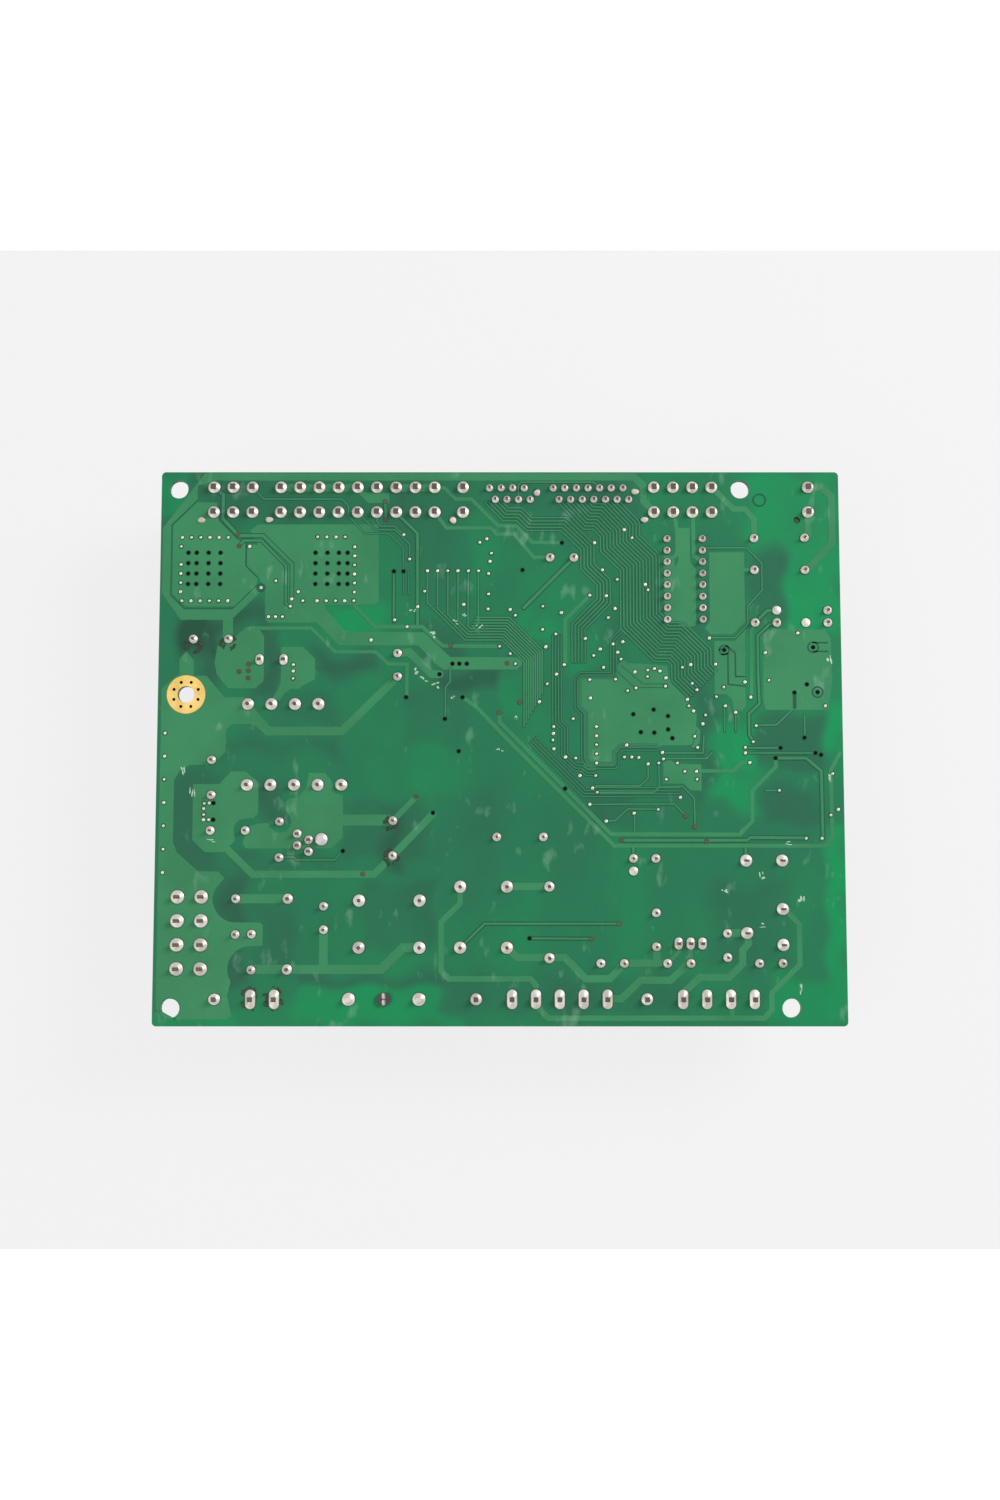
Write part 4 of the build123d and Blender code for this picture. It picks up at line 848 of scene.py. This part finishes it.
def solder_mesh(build):
    draw = random.Random(11)
    for place, half, height in joint_places:
        half = (half[0] * 1.03, half[1] * 1.03)
        tall = height * draw.uniform(0.86, 1.0)
        lean = (draw.uniform(-0.10, 0.10), draw.uniform(-0.10, 0.10))
        waves = (draw.uniform(0.0, 0.02), draw.uniform(0, whole_turn), draw.uniform(0, whole_turn))
        steps = [(0.985, 0.02), (1.0, 0.09), (0.985, 0.17)]
        steps += [(share, 0.16 + rise * tall) for share, rise in cone_steps]
        joint_stack(build, place, half, [(share, solder_face + z) for share, z in steps], lean, waves)


solder, tree, shader, space = new_material("satin_solder")
frost = noise(tree, space, 900.0, 5.0)
drawn = noise(tree, space, 240.0, 3.0)
tin = two_tone(tree, drawn, (0.46, 0.43, 0.38), (0.67, 0.63, 0.575))
set_looks(tree, shader, tin, span(tree, frost, 0.34, 0.5), 0.55)
rough_up(tree, shader, frost, 0.16, 0.0001)
make_piece("solder_cones", solder_mesh, solder, ["solder_joints"], smooth=True)


# The round openings in the resist: a thin dark line round every joint, where bare laminate
# or the pour's edge shows between the land and the film.
def land_mesh(build):
    for place, half, height in joint_places:
        outer = (half[0] + pad_edge, half[1] + pad_edge)
        loops = []
        for share, z in ((0.88, 0.0), (1.0, 0.0), (1.0, pad_height), (0.88, pad_height)):
            loops.append(joint_loop(build, place, outer, share, solder_face + z, (0, 0), (0, 0, 0)))
        for level in range(4):
            band(build, loops[level], loops[(level + 1) % 4])


make_piece("land_edges", land_mesh, gap_green)

# --- Earth land --------------------------------------------------------------------------------
# A gold-plated ring round the earth screw's hole, pressed by the screw head, with eight small
# plated holes that carry the current to the far face.
gold, tree, shader, space = new_material("rubbed_gold")
tarnish = noise(tree, space, 300.0, 5.0)
plating = two_tone(tree, tarnish, (0.62, 0.40, 0.10), (0.86, 0.60, 0.20))
scratches = noise(tree, space, 1600.0, 3.0, (1.0, 6.0, 1.0))
set_looks(tree, shader, plating, span(tree, scratches, 0.28, 0.45), 0.85)
rough_up(tree, shader, scratches, 0.15, 0.00008)
dress(gold, "earth_land")

# --- Plated through holes ---------------------------------------------------------------------
# Small drilled holes with plated walls that join the two faces. Most filled with solder in the
# wave and stand up as bright domes; some are tarnished brown, and some stayed open: these are
# not cut, but covered by near-black caps, painted shade of the hole's inside.
filled_vias = [
    (-72.3, 2.6), (-72.3, -2.4), (-72.3, -7.4), (-72.3, -12.4), (-72.3, -17.4), (-72.3, -22.4),
    (-72.3, -27.4), (-63.6, -12.6), (-62.5, -12.5), (-63.7, -13.7), (-63.7, -15), (-63.7, -16.1),
    (-62.6, -16.1), (-44.8, 17.5), (-44.8, 16.1), (-44.8, 14.5), (-50.3, 28), (-48.8, 28), (-47.3, 28),
    (-28, 22.9), (3.3, 17.7), (-22.9, 27.3), (-20.2, 25.8), (-0.1, 21.5), (-17.9, 30.2), (-19.7, 40.7),
    (-21, 46.1), (-54.6, 43.5), (-48.8, 35.9), (-52, 34.4), (-43.9, 33.5), (-42.9, 31.5),
    (-45.3, 31.9), (-45.6, 30.3), (-4.4, 44.4), (-2.9, 45.2), (-1.9, 42), (-2.2, 40.2), (-2.5, 37.5),
    (-2.5, 33), (-7.9, 30.7), (-16.4, 33.6), (-15.8, 38.1), (-13.6, 38.1), (-11.4, 38.1), (-9.2, 38.1),
    (-6.9, 38.1), (-4.7, 38.1), (27.1, 47.2), (28.8, 45.4), (20.6, 44.3), (22.3, 38.3), (25.5, 36.2),
    (31.6, 35.1), (32.2, 33.9), (19.5, 32.7), (23.1, 32.6), (9.3, 30.3), (25, 29.8), (19.4, 14.2),
    (25, 14.3), (19.5, 10.2), (27.6, 11.8), (20.8, 4), (20.8, 2), (20.8, 0.1), (27.3, 0), (20.8, -1.9),
    (20.8, -3.9), (2.2, 29.6), (3.3, 28.3), (13.3, 28.9), (9.2, 25.2), (12.1, 24.2), (9.9, 21.4),
    (2.2, 19.9), (13.9, 17.5), (12.2, 15.4), (10.2, 13.3), (8.5, 9.4), (15.8, 5.7), (11.6, 4),
    (11.5, 2.5), (11.4, 1.1), (11.6, -0.8), (18.5, 23.2), (20.3, 19.5), (21.7, 20.9), (23.5, 27.8),
    (24.5, 22), (25.5, 20.2), (26.2, 18.7), (26.6, 22.5), (22.4, 16.9), (29.4, 12.4), (29.2, 15.9),
    (32, 16.3), (33.4, 16.6), (34.6, 16.1), (31.9, 14.9), (35.9, 14.6), (35.8, 12.8), (-2.6, 29.7),
    (17.2, -6.6), (20.6, -6.6), (38.8, -11.3), (28.4, -2.6), (26.8, -2.6), (14.1, -2.6), (16.3, -2.8),
    (29.9, -2.7), (31.9, -4.1), (34.2, -3.9), (35, -1.6), (35.2, -3), (38.2, -3.9), (19.9, -9.3),
    (20.9, -10.2), (19.3, -12.8), (28.8, -14.7), (34, -13.9), (22.8, -16.4), (35.8, -7.4),
    (39.8, -5.7), (42.3, -5.7), (42.4, -7.4), (45.4, 23.3), (46.7, 17.6), (48.4, 12.6), (53, 13.7),
    (46.8, 10.5), (48.7, 8.5), (50.9, 7.1), (44.4, 6.5), (43.8, 4.6), (42, 1.9), (42.6, -0.5),
    (57.5, 20.1), (58.2, 14.1), (64.6, 24.4), (70.3, 8.5), (39.5, 16.9), (41.3, 17.5), (41.6, 13.4),
    (42.6, 12), (40.5, 9.9), (40.8, 8.5), (41.8, 7.4), (71.6, -6.2), (71.1, -15.1), (72.7, -13.9),
    (65.7, -20.1), (69.1, -20.1), (53.8, -3.8), (54.6, 0.7), (54.2, 10.4), (55.3, 4.2), (52.9, -0.5),
    (52.9, -1.7), (60.1, -9.8),
]
open_vias = [
    (-21, 38), (-23.1, 38), (13.5, 44.3), (-20.3, 10.4), (-13.1, 15.4), (-11.9, 5.7), (-8.1, 10.4),
    (-10.3, 17.7), (-8.8, 17.7), (-7.2, 17.7), (-61.6, -12.5), (-61.6, -16.1), (-14.4, -14.6),
    (-33.7, -22.8), (-8.9, -1.3), (28.8, 6.7), (33.2, 7.7), (36.3, 6.3), (30.4, 2.8), (33.3, 2.7),
    (36.3, 3.4), (37.2, 1.5), (4.9, 38.3), (59.4, -2.8), (60.5, -0.6), (63.7, 11.4), (65.7, 1.6),
    (66.4, 13.2), (68.7, 11.5), (69.2, -2.1), (14, -9.4), (6.3, -41.4), (48.6, 20.7), (67.9, 21.3),
    (68, -1.7),
]
brown_vias = [
    (-56.5, 16), (-54.5, 17.6), (-54.5, 16.2), (-54.5, 14.6), (-57.2, 46.2), (-56.9, 43.6),
    (-25.1, 53.5), (-24.9, 49.4), (-10.7, 21.7), (1.55, 17.8), (-0.2, 7), (4.3, 9.3), (-29.4, -27.7),
    (-18.1, -11.1), (26.1, -20.4), (44.3, -20.7), (39.9, -15.3), (41.8, -17.6), (25.4, -38.3),
    (19.5, -41.5),
]
# The grids and rows under the two power chips, which carry their heat.
for x in (-67.9, -66.1, -63.5, -60.9, -40.2, -37.6, -35.1, -33.2):
    open_vias += [(x, y) for y in (42.1, 39.8, 37.5, 35.2)]
for k in range(6):
    filled_vias += [(-69.3 + 2.0 * k, 45.5), (-69.2 + 2.0 * k, 31.5)]
filled_vias += [(-69.5, y) for y in (43.5, 39.5, 37.5, 35.5, 33.5)]
filled_vias += [(-39.8 + 2.0 * k, 45.6) for k in range(4)]
filled_vias += [(-39.8 + 2.0 * k, 31.5) for k in range(5)]
filled_vias += [(-31.7, 43.4 - 2.0 * k) for k in range(6)]
earth_vias = []
for k in range(8):
    turn = math.pi * (k + 0.5) / 4
    earth_vias.append((earth_hole[0] + 2.83 * math.cos(turn), earth_hole[1] + 2.83 * math.sin(turn)))
crown_z = solder_face + land_height


# A dome's width as a share of its foot, and its height over the land.
dome_steps = [(1.0, 0.03), (0.84, 0.10), (0.5, 0.16), (0.15, 0.18)]


def dome_mesh(build):
    for index, (x, y) in enumerate(filled_vias):
        radius = 0.34 + 0.04 * math.sin(index * 2.4)
        profile = [(radius, solder_face + 0.02)]
        profile += [(radius * share, crown_z + z) for share, z in dome_steps]
        lathe(build, x, y, profile, 14, wobble=0.03, seed=index)


def via_edge_mesh(build):
    for x, y in filled_vias + open_vias + brown_vias:
        ring(build, x, y, 0.30, 0.56, solder_face, solder_face + hole_edge_height, 18)


def cap_mesh(places, foot, steps, sides):
    """A maker of caps on holes, turned from a foot and (radius, height over the land) steps."""
    def mesh(build):
        for x, y in places:
            profile = [(steps[0][0], solder_face + foot)] + [(radius, crown_z + z) for radius, z in steps]
            lathe(build, x, y, profile, sides)
    return mesh


# Each open hole is a near-black cap, not a cut: painted shade of the hole's inside.
open_via_shade_caps = cap_mesh(open_vias, 0.01, [(0.41, 0.008), (0.36, 0.012), (0.24, 0.004)], 16)
brown_mesh = cap_mesh(brown_vias, 0.01, [(0.46, 0.03), (0.36, 0.05), (0.2, 0.02)], 14)
# The earth ring's eight small holes get near-black caps too: painted shade of their insides.
earth_hole_shade_caps = cap_mesh(earth_vias, 0.02, [(0.34, 0.020), (0.30, 0.026), (0.26, 0.01)], 14)
hole_shade_paint = finish("painted_hole_shade", (0.003, 0.004, 0.003), 0.8, grain=900.0, mottle=0.3, bump=0.1, specular=0.05)
tarnished = finish("tarnished_copper", (0.080, 0.058, 0.026), 0.5, metal=0.3, mottle=0.3, bump=0.2)
via_tin = finish("tinned_hole", (0.60, 0.62, 0.48), 0.35, metal=0.35, grain=1500.0, mottle=0.12, bump=0.2)
make_piece("hole_edges", via_edge_mesh, gap_green)
make_piece("filled_holes", dome_mesh, via_tin)
make_piece("open_plated_hole_shade", open_via_shade_caps, hole_shade_paint)
make_piece("tarnished_holes", brown_mesh, tarnished)
make_piece("earth_ring_hole_shade", earth_hole_shade_caps, hole_shade_paint)

# --- Flux residue ---------------------------------------------------------------------------------
# No-clean flux dries to thin whitish films and streaks; where joints were reworked by hand
# it is burnt brown and glassy. Each smear or spot: its middle, then its reach both ways.
pale_smears = [
    (-19, 29, 0.7, 0.5), (-18, 16, 0.9, 0.5), (-16.5, 14.5, 0.7, 0.4), (-14, 13, 0.8, 0.5),
    (-10, 10.7, 0.6, 0.4), (-14.5, 24, 0.8, 0.4), (-9.5, 27, 0.7, 0.5), (-7.5, 28.5, 0.6, 0.4),
    (-4.5, 26, 0.6, 0.4), (3.5, 6, 0.5, 0.4), (0, -1, 0.5, 0.4), (48, -31, 0.7, 0.4),
    (56, -28, 0.5, 0.9), (64.5, -33, 0.5, 1.2), (71.3, -7, 0.3, 1.6), (71.3, 18.5, 0.35, 1.2),
    (-68, -5.5, 0.4, 1.3), (-66.2, -10, 0.3, 1.6), (-62, -20.5, 1.0, 0.3), (64, -52, 0.3, 1.5),
    (56, -38.5, 0.9, 0.35), (62, -21, 0.8, 0.3),
]
burnt_spots = [
    (-66.5, 21.6, 1.5, 1.3), (-58.9, 22.2, 1.3, 1.2), (-23.6, -16.9, 1.2, 1.2),
    (-23.5, -24.3, 1.2, 1.2), (-53.2, -54.3, 1.5, 2.1), (-48.1, -54.3, 1.5, 2.1),
]
blot_sides = 22
wobble_ranges = ((0.2, 0.45), (0, whole_turn), (0.05, 0.22), (0, whole_turn))


def blot(build, x, y, reach_x, reach_y, low, high, seed):
    """A low uneven island of dried flux."""
    waves = random.Random(seed)
    outline = []
    wobbles = [waves.uniform(low_end, high_end) for low_end, high_end in wobble_ranges]
    for side in range(blot_sides):
        turn = 2 * math.pi * side / blot_sides
        grow = 1 + wobbles[0] * math.sin(2 * turn + wobbles[1])
        grow += wobbles[2] * math.sin(5 * turn + wobbles[3])
        outline.append((x + reach_x * grow * math.cos(turn), y + reach_y * grow * math.sin(turn)))
    inner = [(x + (px - x) * 0.8, y + (py - y) * 0.8) for px, py in outline]
    prism(build, outline, inner, low, high)


def smear_mesh(build):
    for index, (x, y, reach_x, reach_y) in enumerate(pale_smears):
        for part in range(3):
            shift = random.Random(index * 7 + part)
            spot_x, spot_y = x + shift.uniform(-0.6, 0.6), y + shift.uniform(-0.6, 0.6)
            wide, tall = reach_x * shift.uniform(0.3, 0.6), reach_y * shift.uniform(0.3, 0.6)
            blot(build, spot_x, spot_y, wide, tall, solder_face, crown_z + 0.012, index * 5 + part)


def burn_mesh(build):
    for index, (x, y, reach_x, reach_y) in enumerate(burnt_spots):
        scatter = random.Random(300 + index)
        for part in range(22):
            turn = scatter.uniform(0, whole_turn)
            away_share = scatter.uniform(0.7, 1.3)
            wide = scatter.uniform(0.14, 0.5)
            tall = wide * scatter.uniform(0.6, 1.4)
            spot_x = x + reach_x * away_share * math.cos(turn)
            spot_y = y + reach_y * away_share * math.sin(turn)
            crown = crown_z + 0.03 + 0.002 * part
            blot(build, spot_x, spot_y, wide, tall, solder_face, crown, 400 + index * 30 + part)


residue = finish("dried_flux", (0.42, 0.60, 0.44), 0.62, grain=900.0, mottle=0.2, bump=0.4)
burnt = finish("burnt_flux", (0.014, 0.024, 0.010), 0.3, grain=900.0, mottle=0.4, bump=0.5)
make_piece("flux_smears", smear_mesh, residue)
make_piece("burnt_flux_spots", burn_mesh, burnt)

# --- Pins and legs ----------------------------------------------------------------------------
# Tinned brass and steel wire, pushed through the board and soldered. The ends that stand out
# of the solder on this face were cropped, and are painted dark towards their tops: partly their
# own dull oxide, partly painted shade of the recess round each pin tip.
tinned, tree, shader, space = new_material("tinned_wire")
skin = noise(tree, space, 700.0, 4.0)
tin = two_tone(tree, skin, (0.50, 0.47, 0.42), (0.68, 0.65, 0.60))
apart = tree.nodes.new("ShaderNodeSeparateXYZ")
tree.links.new(space, apart.inputs["Vector"])
# Pin tops above the solder are painted dark: oxide, and painted shade of the recess round each tip.
oxide_and_shade_tops = spread(tree, apart.outputs["Z"], board_high.z + 0.5 * mm, board_high.z + 1.0 * mm)
tin_with_oxide_and_shade_tops = overlay(tree, oxide_and_shade_tops, tin, (0.10, 0.085, 0.07))
set_looks(tree, shader, tin_with_oxide_and_shade_tops, span(tree, skin, 0.30, 0.42), 0.75)
rough_up(tree, shader, skin, 0.15, 0.0001)
dress(tinned, "power_header_pins", "ribbon_socket_contacts", "wide_header_pins", "transformer_pins",
      "choke_pins", "wire_leads", "relay_pins", "logic_chip_legs", "surface_chip_leads",
      "power_package_metal")

# --- Housings ---------------------------------------------------------------------------------
# Moulded nylon and polyester with the mould's fine texture: ivory power headers, red-brown
# ribbon sockets, off-white mains headers. A peg through the board holds each power header,
# staked flat on this face with a hot iron; the fuse base has a split one.
peg_places = [(-65.2, 49.3), (-50.4, 49.4), (-10.3, 49.3), (8.05, 55.4), (29.5, 55.6), (31.5, 49.4)]

fuse_peg = (-24.85, -54.3)
# Radius and height over the board, from the foot up.
split_steps = [(0.62, 0.01), (0.64, 0.14), (0.54, 0.28), (0.3, 0.36)]
peg_steps = [(0.78, 0.01), (0.80, 0.16), (0.70, 0.34), (0.46, 0.46), (0.20, 0.49)]


def peg_mesh(build):
    split = [(radius, solder_face + z) for radius, z in split_steps]
    for way in (-1, 1):
        y = fuse_peg[1] + 0.66 * way
        lathe(build, fuse_peg[0], y, split, 20, (1.45, 1.0), (0, 0), 0.05, seed=9 + way)
    staked = [(radius, solder_face + z) for radius, z in peg_steps]
    for index, (x, y) in enumerate(peg_places):
        lathe(build, x, y, staked, 20, (1.0, 0.88), (0.25, 0.1), 0.09, seed=index + 3)


melted = finish("staked_peg", (0.58, 0.54, 0.47), 0.3, grain=900.0, mottle=0.2, bump=0.4, coat=0.3)
make_piece("staked_pegs", peg_mesh, melted, smooth=True)
nylon = finish("ivory_nylon", (0.66, 0.62, 0.50), 0.48, grain=1300.0, mottle=0.05)
dress(nylon, "fan_header_housing", "sensor_header_housing", "thermostat_header_housing",
      "gas_valve_header_housing", "ignition_header_housing")
socket_red = finish("red_brown_socket_plastic", (0.30, 0.038, 0.030), 0.45, grain=1300.0, mottle=0.15,
                    bump=0.3)
dress(socket_red, "display_socket_housing", "expansion_socket_housing")
mains_white = finish("off_white_mains_plastic", (0.74, 0.72, 0.65), 0.45, grain=1300.0, mottle=0.05)
dress(mains_white, "mains_header_housing", "output_header_housing", "controls_header_housing")

# --- Earth tabs and fuse ------------------------------------------------------------------------
# Stamped brass push-on tabs, tinned; the fuse is a glass tube with nickel caps in spring clips
# on a moulded base.
dress(tinned, "earth_tabs")
clip_metal = finish("nickel_clip", (0.62, 0.60, 0.56), 0.28, metal=0.95, grain=1300.0, bump=0.1)
dress(clip_metal, "fuse_clips", "fuse_end_caps", "fuse_wire")
fuse_base = finish("black_fuse_base", (0.028, 0.028, 0.030), 0.42)
dress(fuse_base, "fuse_base")
fuse_glass, tree, shader, space = new_material("clear_fuse_glass")
shader.inputs["Transmission Weight"].default_value = 1.0
shader.inputs["IOR"].default_value = 1.47
smudge = noise(tree, space, 500.0, 4.0)
clear = two_tone(tree, smudge, (0.90, 0.94, 0.93), (0.97, 0.99, 0.98))
set_looks(tree, shader, clear, span(tree, smudge, 0.02, 0.09), 0.0)
dress(fuse_glass, "fuse_glass")

# --- Transformer and chokes --------------------------------------------------------------------
# Pressed ferrite cores, ground where the halves meet; varnished copper wire on moulded
# bobbins, and yellow polyester tape round the transformer.
ferrite = finish("ground_ferrite", (0.045, 0.043, 0.042), 0.42, grain=1400.0, mottle=0.18, bump=0.35)
dress(ferrite, "transformer_core", "choke_cores")
tape = finish("yellow_tape", (0.78, 0.56, 0.06), 0.30, grain=600.0, mottle=0.06, bump=0.2, coat=0.3)
dress(tape, "transformer_tape", "transformer_winding")
bobbin = finish("black_bobbin_plastic", (0.030, 0.030, 0.032), 0.45, mottle=0.12)
dress(bobbin, "transformer_bobbin", "choke_bobbins")
wire, tree, shader, space = new_material("varnished_copper_wire")
turns = tree.nodes.new("ShaderNodeTexWave")
turns.inputs["Scale"].default_value = 320.0
turns.inputs["Distortion"].default_value = 0.6
tree.links.new(space, turns.inputs["Vector"])
# Each wave band is a turn of wire, dark where it meets the next: painted shade in the grooves between turns.
groove_shade_tones = [(0.0, (0.16, 0.05, 0.018)), (1.0, (0.56, 0.22, 0.07))]
copper = ramp(tree, turns.outputs["Fac"], groove_shade_tones)
set_looks(tree, shader, copper, span(tree, turns.outputs["Fac"], 0.25, 0.38), 0.8)
rough_up(tree, shader, turns.outputs["Fac"], 0.8, 0.0003)
dress(wire, "choke_windings")

# --- Capacitors -----------------------------------------------------------------------------------
# Aluminium cans in shrunk sleeves, boxed film capacitors filled with resin, and ceramic discs
# dipped in lacquer.
sleeve = finish("black_can_sleeve", (0.030, 0.034, 0.045), 0.30, grain=500.0, mottle=0.12, bump=0.15,
                coat=0.25)
dress(sleeve, "output_capacitor", "bulk_capacitor", "smoothing_capacitor", "standby_capacitor",
      "reset_capacitor")
grey_box = finish("grey_box_plastic", (0.30, 0.31, 0.31), 0.45, mottle=0.06)
dress(grey_box, "x_capacitor_cases")
red_box = finish("red_box_plastic", (0.36, 0.05, 0.035), 0.40, mottle=0.08, bump=0.2)
dress(red_box, "film_capacitor_cases")
blue_coat = finish("blue_disc_lacquer", (0.035, 0.12, 0.34), 0.26, grain=700.0, bump=0.35, coat=0.4)
dress(blue_coat, "y_capacitors")
varistor_coat = finish("varistor_lacquer", (0.40, 0.17, 0.035), 0.30, grain=700.0, mottle=0.12, bump=0.35,
                       coat=0.3)
dress(varistor_coat, "varistors")

# --- Resistors, diodes and chips -------------------------------------------------------------
# A cement-coated power resistor, chips moulded in black epoxy, chip resistors and capacitors
# of ceramic with tinned ends, and the clock's welded steel can.
cement = finish("grey_cement_coat", (0.20, 0.24, 0.22), 0.6, grain=900.0, mottle=0.15, bump=0.5)
dress(cement, "power_resistor")
epoxy = finish("black_moulded_epoxy", (0.022, 0.022, 0.023), 0.42, grain=1500.0, mottle=0.15, bump=0.3)
dress(epoxy, "clamp_diode", "power_package_bodies", "logic_chip", "microcontroller", "power_chips",
      "small_chips")
ceramic = finish("tan_chip_ceramic", (0.40, 0.27, 0.15), 0.42, grain=1800.0, mottle=0.15, bump=0.2)
dress(ceramic, "chip_capacitors")
chip_black = finish("black_chip_glaze", (0.018, 0.018, 0.020), 0.28, grain=1800.0, mottle=0.12, bump=0.15)
dress(chip_black, "chip_resistors")
crystal_can = finish("drawn_crystal_can", (0.60, 0.59, 0.56), 0.24, metal=0.95, mottle=0.08, bump=0.12)
dress(crystal_can, "clock_crystal")

# --- Heatsink and relay --------------------------------------------------------------------------
# Extruded aluminium with its saw marks, and a sealed relay case in polyester.
extruded = finish("extruded_aluminium", (0.52, 0.53, 0.54), 0.36, metal=0.9, grain=900.0, bump=0.2,
                  stretch=(1.0, 1.0, 0.15))
dress(extruded, "heatsink")
relay_black = finish("black_relay_case", (0.026, 0.027, 0.030), 0.38)
dress(relay_black, "relay_case")

# --- Studio -----------------------------------------------------------------------------------------
# The board lies on a light grey card, on a white table, under two broad soft lamps and an
# even white room.
card_far, card_near, table_end = 0.1192, -0.1111, 2.0
table_face = -0.00005  # just clear of the cans that the board stands on
table_glow = 0.88  # how much of the table's tone the camera sees with no shadow on it
room_light = 0.42
lamp_aim = Vector((0, 0.06, 0.02))


def light_ray_share(tree):
    """1 where the camera, a mirror or glass looks, 0 for the light that falls on the board."""
    rays = tree.nodes.new("ShaderNodeLightPath")
    total = rays.outputs["Is Camera Ray"]
    for kind in ("Is Glossy Ray", "Is Transmission Ray"):
        total = calculate(tree, "MAXIMUM", total, rays.outputs[kind])
    return total


def table_paint(name, tone, glow_tone):
    """Matt paint that keeps the board's shadow and shows as its tone to the camera."""
    material, tree, shader, space = new_material(name)
    shader.inputs["Roughness"].default_value = 0.9
    shader.inputs["Specular IOR Level"].default_value = 0.1
    fibre = noise(tree, space, 40.0, 4.0)
    paint = two_tone(tree, fibre, shade(tone, 0.995), shade(tone, 1.005))
    tree.links.new(paint, shader.inputs["Base Color"])
    glow = tree.nodes.new("ShaderNodeEmission")
    glow.inputs["Color"].default_value = (*glow_tone, 1)
    mixed = tree.nodes.new("ShaderNodeMixShader")
    tree.links.new(calculate(tree, "MULTIPLY", light_ray_share(tree), table_glow), mixed.inputs["Fac"])
    tree.links.new(shader.outputs["BSDF"], mixed.inputs[1])
    tree.links.new(glow.outputs["Emission"], mixed.inputs[2])
    tree.links.new(mixed.outputs["Shader"], tree.nodes["Material Output"].inputs["Surface"])
    return material


table = bpy.data.meshes.new("table")
edges = (-table_end, card_near, card_far, table_end)
corners = [(x, y, table_face) for y in edges for x in (-table_end, table_end)]
table.from_pydata(corners, [], [(2 * k, 2 * k + 1, 2 * k + 3, 2 * k + 2) for k in range(3)])
table.materials.append(table_paint("white_table", (0.84, 0.84, 0.84), (1.12, 1.12, 1.12)))
table.materials.append(table_paint("grey_card", (0.78, 0.78, 0.78), (0.908, 0.908, 0.908)))
table.polygons[1].material_index = 1
floor = bpy.data.objects.new("table", table)
bpy.context.scene.collection.objects.link(floor)

world = bpy.data.worlds.new("soft_room")
bpy.context.scene.world = world
world.use_nodes = True
tree = world.node_tree
back = tree.nodes["Background"]
back.inputs["Color"].default_value = (1, 1, 1, 1)
strength = spread(tree, light_ray_share(tree), 0.0, 1.0, room_light, 1.0)
tree.links.new(strength, back.inputs["Strength"])

for name, place, size, watts in (
    ("key_lamp", (0.62, 0.36, 0.52), 0.35, 6.1),
    ("fill_lamp", (-0.45, -0.25, 0.60), 0.60, 1.9),
):
    light = bpy.data.lights.new(name, "AREA")
    light.size = size
    light.energy = watts
    lamp = bpy.data.objects.new(name, light)
    lamp.location = place
    lamp.rotation_euler = (lamp_aim - Vector(place)).to_track_quat("-Z", "Y").to_euler()
    bpy.context.scene.collection.objects.link(lamp)

lens, sensor = 37.84, 36
away = 0.3401
tilt = math.radians(5.165)
middle = Vector((0, (board_low.y + board_high.y) / 2, board_high.z))
aim = middle + Vector((0, -0.00106, 0))
eye = bpy.data.cameras.new("eye")
eye.lens = lens
eye.sensor_width = sensor
eye_object = bpy.data.objects.new("eye", eye)
spot = middle + Vector((0, -away * math.sin(tilt), away * math.cos(tilt)))
eye_object.location = spot
eye_object.rotation_euler = (aim - spot).to_track_quat("-Z", "Y").to_euler()
bpy.context.scene.collection.objects.link(eye_object)
bpy.context.scene.camera = eye_object
bpy.context.scene.view_settings.view_transform = "Standard"
